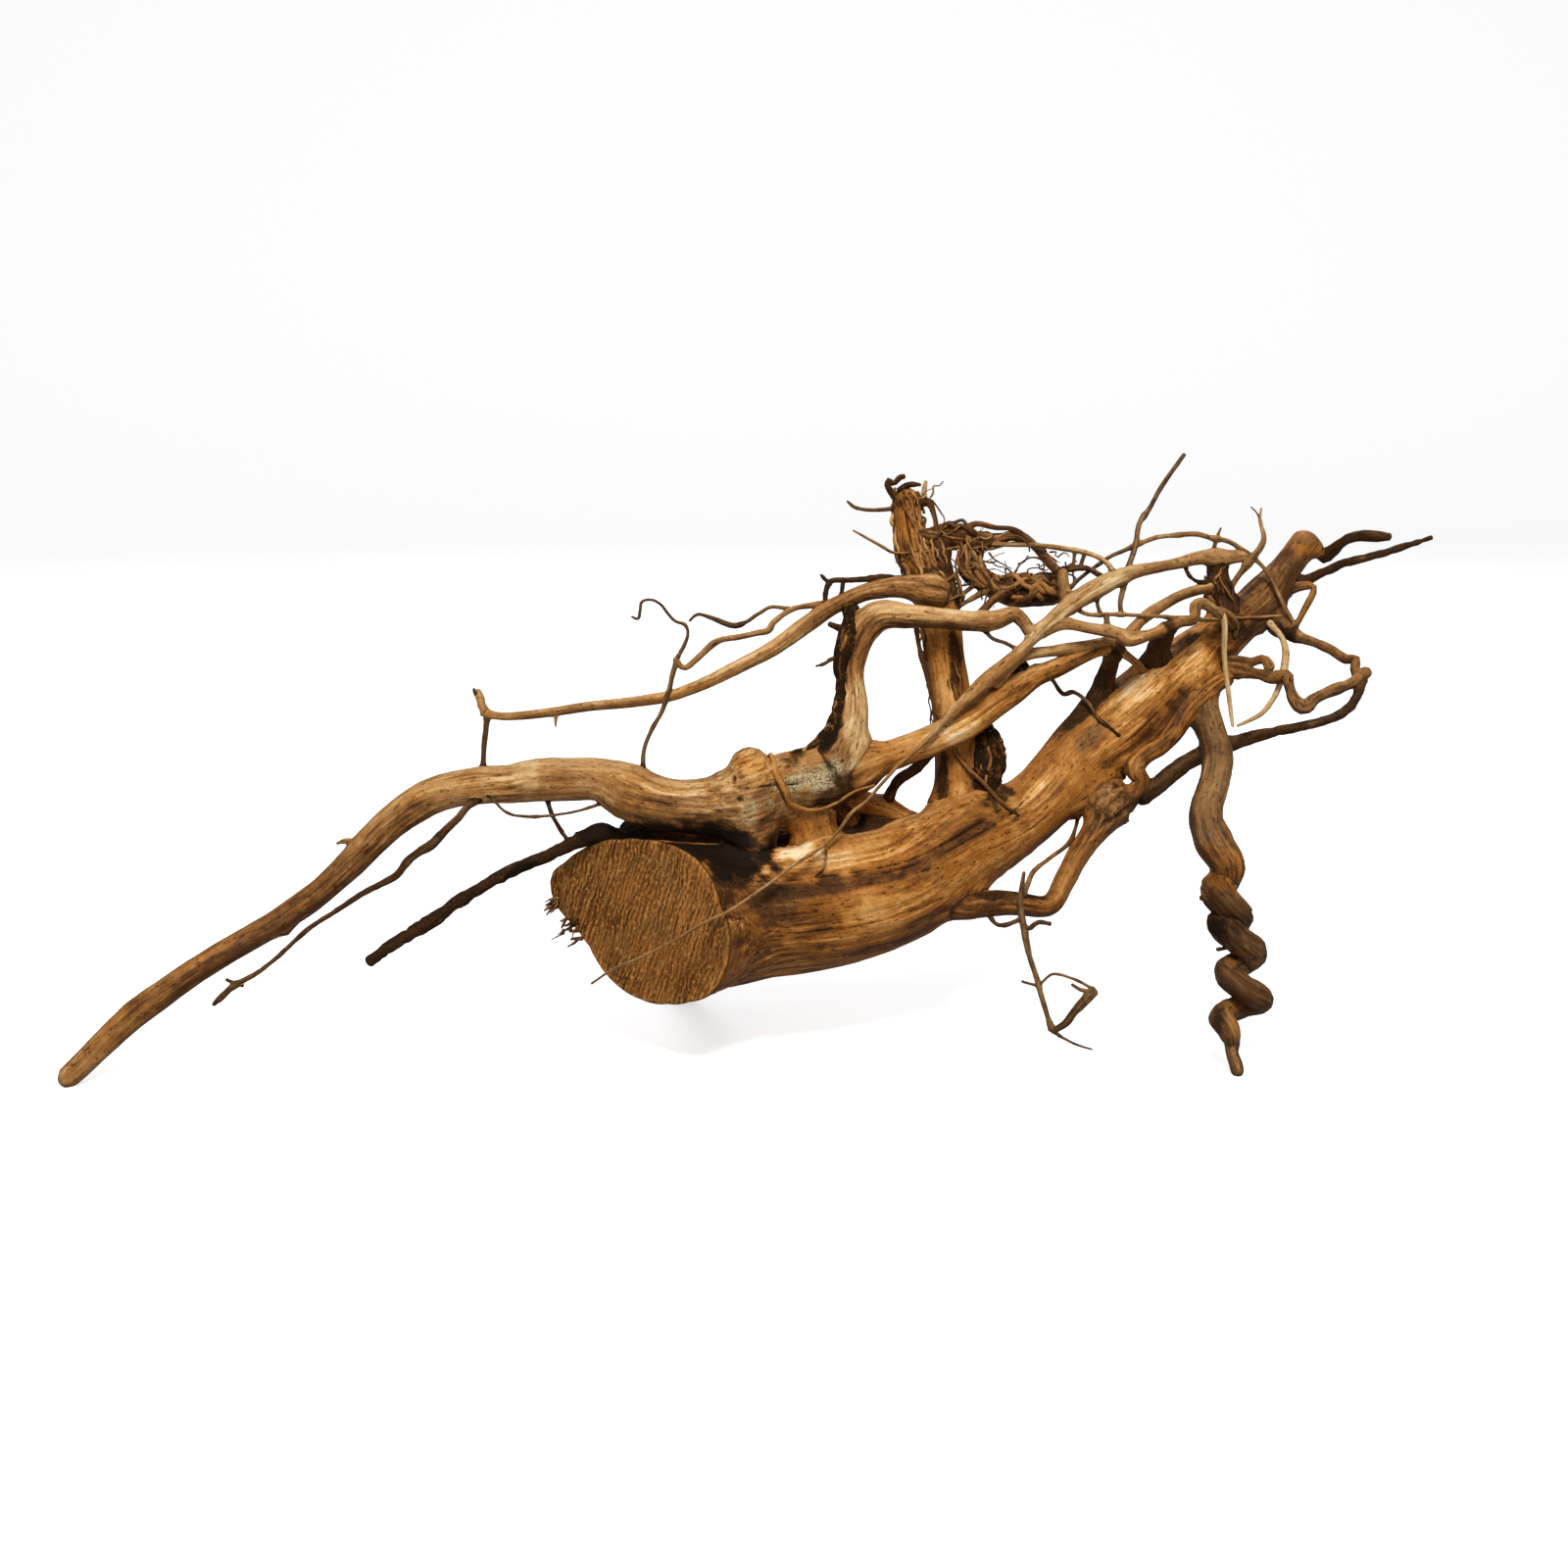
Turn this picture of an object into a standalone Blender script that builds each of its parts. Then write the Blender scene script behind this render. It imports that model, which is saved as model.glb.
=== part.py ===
"""A branching piece of bogwood, about 1.1 m long, as one solid in metres with +Z up.

It lies with its sawn butt hanging clear at the lower left and stands on three low points: the tip
of the left limb, the tip of the corkscrew root and a short root behind the butt. Every limb is a
round tube along a hand-chosen course, its root sunk well into the limb that it grows from, and all
of them are united in one body. A course point is (x, y, depth, radius). x and y are the limb's
place in the reference picture in pixels, depth is how far it lies behind the picture's middle plane
in millimetres, and the radius is the limb's real radius in millimetres.
"""

import math

import bmesh
import bpy
from mathutils import Matrix, Vector

MM = 0.001
MM_PER_PIXEL = 0.8
MIDDLE_PIXEL = 800.0
VIEW_DISTANCE = 1800.0
VIEW_PITCH = math.radians(12.0)
MIDDLE_HEIGHT = 209.5
ORIGIN_X = -14.0
ORIGIN_Y = 3.0

SAWN_FACE_AT = (668, 942, -70)
SAWN_FACE_NORMAL = Vector((-0.67, -0.74, 0.0)).normalized()
CUTTER_SIZE = 0.4
GROUND_SIZE = 3.0
WELD = 1e-6
FLAT_ANGLE = math.radians(3.0)

BUTT = {
    "trunk": (16, 1, [
        (565, 947, -90, 69), (615, 945, -80, 69), (661, 942, -70, 69), (700, 939, -63, 64),
        (740, 935, -54, 54), (770, 932, -47, 49), (800, 930, -40, 47.5), (858, 922, -25, 48),
        (918, 905, -10, 45), (975, 868, 6, 40), (1010, 851, 15, 33), (1046, 833, 25, 26.5),
        (1075, 804, 33, 28), (1100, 777, 40, 30), (1150, 737, 50, 34), (1190, 700, 60, 30.5),
        (1225, 668, 70, 24.5), (1261, 637, 76, 18.5), (1290, 610, 82, 18.5), (1312, 580, 88, 12.5),
        (1330, 556, 96, 12), (1338, 545, 99, 11)]),
    "butt_lobe": (12, 1, [
        (547, 918, -36, 29), (590, 917, -22, 29.5), (690, 901, -6, 31), (780, 905, -10, 26)]),
    "butt_knob": (8, 1, [
        (600, 849, -34, 8), (622, 851, -24, 12), (650, 858, -12, 15), (690, 886, -10, 17)]),
}

TRUNK_SIDE = {
    "back_foot": (10, 1, [
        (770, 925, -10, 22), (750, 955, 35, 18), (730, 984, 75, 14.5), (707, 1002, 105, 12),
        (690, 1007, 132, 10.5), (672, 999, 158, 9), (655, 994, 178, 6)]),
    "ridge_root": (8, 1, [
        (762, 905, -80, 6), (800, 880, -66, 9), (860, 868, -50, 10), (905, 858, -36, 11),
        (950, 843, -18, 11), (1005, 822, -4, 9), (1036, 804, 8, 8), (1064, 779, 22, 8),
        (1096, 739, 34, 7.5), (1124, 717, 44, 7), (1164, 690, 54, 7), (1192, 674, 60, 7),
        (1220, 656, 66, 7), (1244, 640, 70, 7)]),
    "side_flute": (8, 1, [
        (760, 992, -40, 8), (830, 975, -36, 10), (900, 956, -26, 11), (960, 920, -14, 10),
        (1010, 884, 2, 8)]),
    "shadow_root": (8, 1, [
        (628, 864, -14, 10), (662, 862, -8, 15), (720, 862, 0, 19), (780, 864, -2, 19),
        (840, 858, -2, 17), (885, 850, 12, 15), (930, 858, 18, 16)]),
    "charred_bark": (8, 1, [
        (1000, 735, 8, 5), (1008, 755, 5, 8), (1012, 775, 2, 9.5), (1006, 796, 2, 8.5),
        (1003, 815, 4, 8), (1006, 842, 10, 8)]),
    "dark_mass": (8, 1, [
        (1240, 572, 56, 7), (1243, 594, 62, 9), (1247, 614, 66, 10), (1254, 636, 72, 11)]),
    "end_burl": (6, 1, [
        (1332, 555, 90, 8), (1342, 549, 95, 6.5), (1345, 560, 92, 5)]),
}

LEFT_LIMB = {
    "left_limb": (12, 1, [
        (872, 792, -26, 14), (835, 795, -32, 23), (800, 800, -40, 25), (765, 814, -48, 30),
        (734, 820, -50, 23), (710, 820, -50, 19.5), (685, 819, -49, 19.5), (663, 815, -48, 20.5),
        (640, 807, -46, 22.5), (620, 798, -44, 18.5), (600, 795, -42, 17), (550, 796, -35, 17.5),
        (520, 800, -32, 15.5), (485, 802, -27, 15), (450, 809, -22, 14.5), (425, 821, -20, 14),
        (400, 839, -20, 13.5), (380, 858, -20, 13), (360, 879, -21, 12), (340, 898, -24, 11),
        (320, 915, -28, 10.8), (280, 943, -40, 10.2), (240, 966, -48, 10), (200, 990, -60, 10.2),
        (165, 1015, -68, 10.4), (136, 1036, -75, 10.5), (102, 1068, -84, 10), (72, 1097, -92, 9),
        (60, 1105, -94, 7)]),
    "knob_top": (10, 1, [
        (765, 764, -54, 7), (765, 769, -54, 15), (765, 780, -53, 18.5), (766, 800, -50, 20)]),
    "knob_bottom": (10, 1, [
        (768, 862, -54, 9), (768, 856, -54, 16), (767, 842, -52, 21), (766, 822, -48, 24)]),
    "limb_bridge": (8, 1, [
        (820, 808, -38, 14), (824, 830, -36, 15), (832, 850, -32, 17), (846, 884, -28, 18)]),
    "loop_root": (8, 1, [
        (846, 806, -22, 8), (866, 815, -8, 7.5), (886, 818, 6, 8), (906, 824, 12, 8),
        (928, 838, 10, 7.5), (948, 858, 4, 8)]),
    "bark_tongue": (6, 1, [(836, 812, -22, 7), (854, 826, -10, 8), (872, 840, 0, 8)]),
    "limb_thorn": (4, 1, [(366, 864, -22, 3.5), (354, 858, -24, 2.5), (343, 861, -25, 1)]),
    "end_bump": (6, 1, [(291, 948, -38, 6), (293, 954, -38, 3)]),
}

LEFT_TWIGS = {
    "hanging_twig": (4, 1, [
        (497, 810, -34, 3), (478, 823, -38, 1.8), (468, 835, -42, 2), (455, 847, -45, 2.4),
        (440, 862, -48, 3.6), (428, 869, -50, 2.4), (415, 880, -51, 1.8), (405, 893, -52, 2.2),
        (392, 901, -53, 2.2), (372, 911, -54, 1.7), (345, 928, -55, 1.4), (320, 944, -56, 1.3),
        (303, 958, -57, 1.3), (285, 975, -58, 1.3), (262, 993, -59, 1.3), (240, 1005, -60, 1.7),
        (225, 1018, -61, 1.8), (217, 1026, -61, 1.2)]),
    "twig_tick": (4, 1, [(231, 998, -60, 0.7), (240, 1004, -60, 0.9), (249, 1007, -60, 0.6)]),
    "dark_stick": (6, 1, [
        (372, 984, -44, 1.2), (400, 965, -42, 3), (440, 940, -40, 4.6), (462, 924, -38, 3.8),
        (512, 893, -36, 3.6), (560, 872, -34, 3.8), (590, 859, -34, 5), (612, 851, -32, 7),
        (640, 862, -20, 8)]),
    "stick_fork": (4, 1, [
        (556, 806, -38, 1.6), (563, 830, -38, 1.2), (574, 850, -36, 1.3), (584, 862, -34, 1.8)]),
    "limb_fibre": (4, 1, [
        (484, 800, -38, 1.2), (503, 816, -42, 0.9), (516, 828, -44, 0.9), (532, 833, -45, 0.9),
        (560, 832, -47, 0.9), (592, 827, -50, 0.9), (618, 818, -52, 1.2)]),
    "branch_link": (4, 1, [(493, 790, -30, 2.4), (494, 762, -28, 2), (497, 731, -26, 2.4)]),
    "upper_link": (4, 1, [
        (657, 798, -50, 2.4), (657, 768, -45, 1.7), (665, 745, -40, 1.7), (675, 728, -36, 1.8),
        (682, 708, -34, 2), (686, 690, -35, 1.9), (691, 672, -36, 2.2)]),
    "twisty_twig": (4, 1, [
        (688, 671, -36, 2), (698, 681, -35, 2.4), (709, 674, -34, 2.4), (731, 655, -32, 2.4),
        (754, 650, -31, 2.5), (771, 646, -30, 2.4), (784, 643, -29, 2.8), (790, 634, -28, 2.6),
        (808, 622, -26, 2.3), (826, 618, -25, 2.1), (850, 616, -24, 2.2)]),
    "twig_hook": (4, 1, [
        (690, 673, -36, 1.6), (698, 659, -38, 1.5), (702, 647, -40, 1.4), (699, 638, -41, 1.4),
        (689, 634, -42, 1.3), (681, 626, -43, 1.2), (674, 617, -44, 1.1), (665, 612, -45, 1.1),
        (655, 614, -46, 1.2), (653, 623, -47, 1.2), (651, 631, -47, 1.2), (644, 629, -48, 0.8)]),
    "second_twig": (4, 1, [
        (703, 634, -13, 1), (712, 627, -14, 1.4), (725, 630, -15, 1.5), (747, 638, -17, 1.6),
        (761, 635, -18, 1.7), (775, 626, -20, 1.7), (787, 619, -22, 1.6), (806, 621, -26, 1.7)]),
}

LONG_BRANCH = {
    "long_branch": (8, 1, [
        (492, 707, -24, 1.8), (487, 713, -25, 2.4), (489, 722, -26, 2.8), (500, 729, -26, 3),
        (520, 731, -27, 3.2), (560, 727, -28, 3.4), (600, 721, -29, 3.7), (640, 717, -30, 4.2),
        (680, 711, -30, 4.6), (702, 704, -30, 5), (722, 696, -30, 5.4), (742, 686, -29, 5.6),
        (762, 676, -28, 5.8), (783, 665, -28, 6), (803, 652, -27, 6.3), (822, 638, -26, 6.4),
        (842, 624, -25, 6.6), (862, 613, -24, 6.6), (884, 604, -23, 6.8), (905, 600, -22, 7.6),
        (925, 599, -20, 9.5), (942, 602, -17, 13), (955, 604, -14, 13), (965, 606, -10, 8)]),
    "branch_thorn": (4, 1, [(568, 727, -28, 2), (567, 735, -28, 1.4), (567, 742, -28, 0.6)]),
    "spiny_twig": (4, 1, [
        (842, 618, -24, 1.5), (843, 603, -22, 1.4), (848, 593, -21, 1.6), (863, 592, -20, 1.5),
        (881, 591, -20, 1.8), (898, 589, -20, 2.2), (914, 590, -19, 1.8), (930, 592, -18, 1.6)]),
    "spiny_fork": (4, 1, [(848, 598, -22, 1.4), (841, 590, -22, 1.1), (837, 586, -22, 0.6)]),
    "spiny_post": (4, 1, [(861, 590, -20, 1.2), (858, 610, -22, 1.2)]),
}

UPRIGHT_ONE = {
    "upright_one": (10, 1, [
        (832, 806, -36, 18), (850, 785, -34, 18), (862, 762, -34, 17), (868, 740, -34, 14.5),
        (871, 720, -34, 12), (870, 700, -33, 10), (870, 682, -32, 9.8), (874, 663, -32, 10.4),
        (882, 641, -32, 12.5), (900, 628, -33, 11.5), (930, 629, -34, 9), (960, 631, -33, 8.2),
        (990, 634, -32, 8.2), (1015, 633, -30, 8.6), (1034, 627, -29, 7), (1044, 634, -28, 5.8),
        (1055, 645, -27, 5), (1086, 637, -24, 4.4), (1112, 641, -22, 4.2), (1140, 646, -20, 5),
        (1152, 653, -18, 5.6), (1175, 647, -8, 4.6), (1204, 635, 4, 4.5), (1218, 632, 10, 4.5),
        (1220, 619, 14, 5.2), (1228, 616, 18, 4.6), (1240, 624, 26, 3.8), (1250, 634, 42, 4),
        (1258, 642, 62, 4)]),
    "left_bark": (6, 1, [
        (869, 618, -28, 4), (867, 640, -36, 4.4), (862, 656, -40, 4.4), (858, 674, -39, 3.8),
        (859, 700, -38, 3), (858, 722, -38, 4.4), (849, 747, -38, 7), (826, 769, -40, 8),
        (796, 779, -44, 8)]),
    "bark_twig": (4, 1, [(866, 642, -38, 2.4), (856, 641, -40, 2.2), (845, 636, -42, 1.2)]),
    "bark_claw": (4, 1, [
        (862, 666, -40, 1.6), (849, 672, -42, 1.3), (842, 677, -43, 1.2), (832, 680, -44, 0.6)]),
    "pale_fibre": (4, 1, [
        (786, 768, -62, 1.6), (791, 788, -68, 2), (800, 806, -70, 2.2), (808, 821, -64, 2),
        (830, 827, -58, 1.5), (850, 821, -54, 1.4), (872, 808, -50, 1.4), (893, 801, -52, 1.2)]),
}

DIAGONAL = {
    "diagonal_branch": (10, 1, [
        (846, 798, -32, 18), (868, 788, -31, 15.5), (890, 778, -30, 13.5), (925, 765, -27, 12.5),
        (960, 751, -24, 12.5), (988, 736, -20, 13), (1012, 719, -16, 12.5), (1034, 705, -12, 11.5),
        (1056, 691, -8, 9), (1080, 681, -4, 7.6), (1108, 668, 0, 6.2), (1136, 658, 4, 5)]),
    "crevice_bark": (6, 1, [
        (990, 722, -8, 6), (1008, 708, -6, 7), (1028, 692, -4, 7), (1050, 680, -4, 5)]),
    "upper_arm": (6, 1, [
        (1012, 700, -24, 5), (1042, 671, -20, 4.8), (1075, 664, -12, 4.6), (1107, 659, -4, 4.2),
        (1134, 656, 2, 4.4), (1146, 666, 8, 3.6), (1162, 679, 26, 3.2), (1170, 690, 42, 3)]),
    "long_root": (8, 1, [
        (1274, 566, 66, 5), (1258, 568, 60, 6), (1238, 568, 52, 6.4), (1220, 570, 44, 5.6),
        (1200, 575, 34, 4.8), (1180, 579, 24, 4.8), (1160, 583, 12, 5.2), (1140, 590, 0, 7),
        (1120, 600, -10, 8), (1100, 612, -18, 7.8), (1080, 626, -24, 6), (1060, 645, -28, 4.8),
        (1044, 662, -31, 4.6), (1024, 680, -33, 5.4), (1003, 697, -35, 6.2), (984, 715, -38, 4.4),
        (966, 731, -42, 2.8)]),
    "root_tail": (4, 1, [
        (974, 723, -40, 3.2), (960, 736, -44, 2.4), (938, 762, -48, 2.1), (919, 780, -52, 1.9),
        (900, 800, -56, 1.8), (868, 835, -63, 1.8), (848, 858, -69, 1.8), (825, 880, -78, 1.7),
        (800, 897, -90, 1.7), (775, 912, -102, 1.6), (750, 927, -112, 1.6), (735, 937, -117, 1.5),
        (700, 951, -118, 1.4), (660, 972, -112, 1.3), (630, 985, -104, 1.2), (601, 1004, -96, 0.8)]),
    "tail_fibre": (4, 1, [
        (843, 863, -70, 1.1), (842, 880, -70, 0.9), (836, 891, -70, 0.9), (826, 897, -70, 0.6)]),
    "dark_root": (4, 1, [
        (904, 820, 10, 4), (916, 797, 0, 4), (936, 782, -12, 4.2), (950, 764, -20, 4.4)]),
}

UPRIGHT_TWO = {
    "upright_two": (12, 1, [
        (922, 498, 30, 11), (926, 525, 27, 11.5), (930, 550, 22, 11.8), (937, 575, 15, 12.5),
        (950, 605, 8, 14.5), (960, 640, 4, 16.5), (964, 670, 4, 15.4), (969, 700, 6, 15.6),
        (974, 740, 8, 16), (975, 790, 8, 16.5), (976, 850, 8, 18)]),
    "crown_hook": (4, 1, [
        (914, 508, 22, 2.4), (906, 497, 20, 2), (907, 490, 20, 1.8), (912, 493, 20, 1.6),
        (918, 487, 20, 1.8), (924, 486, 20, 1.2)]),
    "crown_rim": (4, 1, [
        (916, 502, 22, 2.4), (924, 496, 21, 2.2), (934, 494, 22, 1.8), (940, 495, 24, 1.2)]),
    "crown_prong": (4, 1, [(945, 490, 24, 1.5), (943, 500, 24, 2.2), (942, 512, 24, 3)]),
    "crown_loop": (4, 1, [
        (934, 515, 26, 3), (947, 512, 23, 3.2), (953, 526, 20, 2), (955, 538, 18, 2),
        (952, 549, 17, 3)]),
    "crown_twig": (4, 1, [
        (864, 511, 24, 1), (873, 518, 25, 1.5), (893, 520, 26, 1.7), (920, 519, 27, 2)]),
    "lower_twig": (4, 1, [
        (870, 541, 6, 0.8), (885, 549, 6, 1.2), (901, 558, 6, 1.2), (914, 564, 7, 1.2),
        (942, 563, 6, 1.2), (962, 561, 10, 1.2), (984, 558, 18, 1.4)]),
    "clinging_root": (4, 1, [
        (934, 632, -26, 1.8), (938, 660, -18, 1.8), (945, 688, -12, 1.8), (953, 718, -9, 1.8),
        (962, 742, -9, 1.8), (980, 775, -9, 1.7), (1002, 798, -10, 1.7), (1025, 822, -9, 1.6),
        (1045, 836, -2, 1.5), (1060, 846, 5, 1.2)]),
}

TANGLE = {
    "tangle_beam": (6, 1, [
        (922, 549, 18, 4), (942, 547, 16, 4), (962, 550, 16, 4.4), (986, 553, 20, 4.4),
        (1004, 554, 24, 4), (1030, 548, 28, 3.2), (1046, 551, 28, 3.4)]),
    "tangle_core": (8, 1, [
        (986, 543, 18, 4), (988, 557, 20, 7), (990, 573, 22, 8), (998, 588, 24, 6.5),
        (1012, 596, 26, 6), (1028, 600, 28, 9.5), (1048, 605, 29, 13), (1068, 604, 26, 12),
        (1086, 600, 10, 7)]),
    "tangle_left": (6, 1, [
        (956, 550, 16, 5), (961, 572, 14, 7), (966, 596, 8, 7), (970, 620, 2, 7)]),
    "tangle_top": (6, 1, [
        (950, 548, 16, 3.6), (966, 543, 16, 5), (986, 544, 19, 5.4), (1002, 550, 22, 5.4),
        (1014, 548, 24, 3)]),
    "pale_stub": (8, 1, [(1084, 581, 2, 4.6), (1086, 598, -6, 5), (1090, 620, -18, 5)]),
    "top_arch": (4, 1, [
        (952, 546, 12, 2), (966, 536, 14, 2.6), (980, 539, 17, 2.2), (997, 534, 20, 2.1),
        (1015, 538, 22, 2), (1033, 540, 24, 2.2), (1046, 549, 26, 3), (1058, 560, 24, 3.2),
        (1068, 572, 18, 3.4), (1080, 584, 8, 3.8)]),
    "pale_arch": (4, 1, [
        (1010, 555, 24, 2), (1040, 556, 18, 1.7), (1060, 557, 14, 1.8), (1086, 560, 8, 1.9),
        (1108, 564, 2, 2), (1122, 569, -2, 2.1), (1132, 577, -4, 2.2), (1137, 588, -3, 2.6)]),
    "arch_posts": (4, 1, [(1097, 561, 5, 1.4), (1095, 581, 3, 1.4)]),
    "arch_post_right": (4, 1, [(1107, 563, 3, 1.4), (1101, 582, 2, 1.4)]),
    "dark_rail": (4, 1, [
        (1080, 582, 6, 2.2), (1096, 580, 3, 1.9), (1110, 580, 0, 1.8), (1119, 585, -2, 1.6),
        (1127, 590, -5, 1.6), (1136, 589, -3, 2)]),
    "tangle_strut": (4, 1, [(968, 613, 2, 2), (984, 605, 12, 1.7), (1000, 592, 24, 2.4)]),
    "lower_strut": (4, 1, [(972, 622, -2, 2), (994, 610, 10, 1.9), (1014, 598, 25, 2.4)]),
    "fork_strut": (4, 1, [(1000, 626, -28, 3), (1014, 612, -4, 3), (1030, 604, 24, 4)]),
    "thin_arch": (4, 1, [
        (1033, 590, 24, 1.2), (1041, 576, 24, 0.8), (1052, 569, 23, 0.8), (1066, 571, 20, 1.2)]),
    "shelf_twig": (4, 1, [
        (1000, 638, -30, 2), (1012, 651, -28, 1.7), (1026, 656, -28, 1.7), (1041, 664, -30, 2)]),
    "kinked_twig": (4, 1, [
        (1040, 690, -12, 2), (1063, 684, -6, 1.8), (1073, 693, 6, 1.7), (1084, 708, 26, 1.7),
        (1096, 706, 30, 1.7), (1110, 716, 26, 1.7), (1121, 733, 17, 1.6), (1143, 752, 14, 1.4)]),
}

UPPER_RIGHT = {
    "tall_twig": (4, 1, [
        (1209, 463, 70, 1.3), (1198, 478, 64, 1.8), (1185, 497, 56, 2), (1173, 519, 46, 2.1),
        (1163, 534, 38, 2.1), (1159, 554, 30, 2.4), (1153, 575, 14, 2.3), (1148, 594, 4, 2.3),
        (1143, 612, -4, 2.2), (1144, 628, -8, 2.2)]),
    "twig_arm": (4, 1, [
        (1162, 554, 32, 2.2), (1148, 561, 24, 1.8), (1133, 568, 16, 1.6), (1118, 578, 8, 1.6),
        (1100, 592, 2, 1.6), (1090, 602, -4, 1.8)]),
    "long_arch": (4, 1, [
        (1156, 558, 29, 2), (1178, 549, 36, 2), (1200, 546, 42, 2), (1221, 545, 48, 2.2),
        (1236, 549, 52, 2), (1252, 552, 56, 2), (1266, 560, 60, 1.8), (1281, 571, 60, 1.8),
        (1292, 583, 60, 1.7), (1304, 605, 58, 1.6), (1311, 619, 58, 1.6), (1320, 637, 66, 1.8),
        (1316, 646, 72, 1.8)]),
    "arch_tick": (4, 1, [(1246, 538, 54, 0.8), (1242, 550, 54, 1.7), (1237, 566, 54, 2)]),
    "forked_twig": (4, 1, [
        (1287, 518, 58, 0.6), (1286, 531, 58, 1.4), (1290, 547, 58, 2), (1287, 558, 58, 2.8),
        (1276, 572, 60, 3), (1262, 590, 62, 2.4), (1253, 606, 64, 2.8)]),
    "twig_point": (4, 1, [(1276, 517, 58, 0.5), (1283, 524, 58, 0.7), (1287, 534, 58, 1)]),
    "rising_branch": (8, 1, [
        (1240, 598, 62, 5), (1222, 602, 52, 4.8), (1204, 608, 38, 4.6), (1186, 618, 22, 4.6),
        (1168, 630, 6, 4.6), (1150, 648, -12, 4.8)]),
    "rail": (4, 1, [
        (1096, 620, -16, 2), (1112, 627, -13, 1.8), (1143, 627, -8, 1.7), (1184, 629, -2, 1.7),
        (1218, 632, 10, 1.8), (1244, 632, 32, 1.7), (1262, 631, 52, 1.4), (1286, 630, 60, 1.4),
        (1310, 628, 66, 1.6)]),
    "rail_post": (4, 1, [(1121, 603, -8, 2), (1120, 616, -10, 1.6), (1123, 627, -12, 1.8)]),
    "rail_leg": (4, 1, [(1129, 627, -11, 2), (1130, 643, -20, 3)]),
    "near_strut": (8, 1, [
        (1138, 662, 4, 6.5), (1131, 682, 20, 7), (1120, 712, 40, 9), (1116, 730, 44, 10)]),
    "far_strut": (8, 1, [
        (1192, 640, -2, 6), (1184, 658, 24, 9), (1176, 684, 52, 10)]),
    "mass_twig": (4, 1, [
        (1210, 574, 38, 1.8), (1212, 585, 42, 1.4), (1221, 593, 48, 1.5), (1236, 595, 58, 2)]),
}

RIGHT_ROOTS = {
    "worm_root": (6, 1, [
        (1340, 556, 98, 4), (1350, 570, 94, 4), (1360, 562, 88, 4.2), (1372, 552, 80, 4),
        (1388, 547, 72, 4.2), (1405, 547, 64, 4), (1420, 548, 58, 2.4)]),
    "straight_root": (6, 1, [
        (1300, 594, 86, 5), (1335, 590, 78, 3.6), (1352, 583, 70, 3.5), (1374, 574, 60, 3.2),
        (1403, 567, 48, 2.9), (1435, 557, 36, 2.3), (1462, 548, 26, 1.2)]),
    "bent_root": (6, 1, [
        (1304, 604, 82, 5), (1336, 598, 76, 3.2), (1340, 604, 74, 2.8), (1333, 618, 72, 2.7),
        (1324, 634, 72, 2.8), (1314, 650, 72, 4)]),
    "end_strand": (8, 1, [
        (1290, 618, 76, 9), (1306, 634, 74, 9), (1316, 648, 70, 7)]),
    "loop_upper": (8, 1, [
        (1296, 636, 74, 8), (1322, 649, 68, 4.6), (1342, 656, 60, 3.8), (1358, 663, 52, 4.2),
        (1372, 672, 44, 4.2), (1383, 673, 38, 4), (1382, 684, 34, 3.6), (1388, 691, 29, 4)]),
    "loop_knob": (6, 1, [(1398, 683, 31, 3), (1394, 686, 30, 4), (1386, 691, 28, 3.6)]),
    "loop_lower": (8, 1, [
        (1390, 690, 28, 3.8), (1375, 699, 22, 4.2), (1355, 706, 16, 4.2), (1341, 713, 10, 4.4),
        (1331, 721, 6, 6.2), (1321, 714, 8, 5), (1316, 702, 12, 4), (1312, 690, 16, 5.4),
        (1298, 692, 22, 5.2), (1284, 688, 28, 4.6), (1262, 684, 44, 5), (1232, 680, 64, 6)]),
    "twin_strand": (6, 1, [
        (1236, 676, 62, 4), (1260, 673, 46, 3.4), (1277, 675, 36, 3.2), (1290, 673, 30, 3.6),
        (1298, 684, 24, 3.8)]),
    "pale_rootlet": (4, 1, [
        (1242, 622, 30, 3), (1249, 636, 34, 2.6), (1249, 665, 38, 2.3), (1252, 694, 38, 2.2),
        (1255, 720, 34, 2), (1258, 742, 28, 1.2)]),
    "curled_rootlet": (4, 1, [
        (1294, 634, 66, 3), (1307, 649, 54, 2.6), (1312, 664, 44, 2.7), (1311, 680, 34, 2.8),
        (1306, 698, 28, 2.5), (1299, 713, 26, 2.3), (1286, 729, 20, 2.1), (1262, 741, 14, 1.2)]),
    "short_rootlet": (4, 1, [
        (1244, 620, 32, 2), (1258, 630, 38, 1.8), (1262, 643, 50, 1.8), (1250, 664, 66, 2)]),
    "dark_loop": (6, 1, [
        (1391, 692, 27, 3.6), (1384, 712, 20, 3.4), (1371, 727, 16, 3.6), (1350, 736, 16, 3.8),
        (1325, 742, 20, 3.8), (1303, 746, 26, 4), (1262, 757, 38, 5), (1225, 771, 44, 6),
        (1198, 788, 40, 7.6), (1182, 802, 34, 7.6), (1160, 816, 30, 8)]),
}

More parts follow.
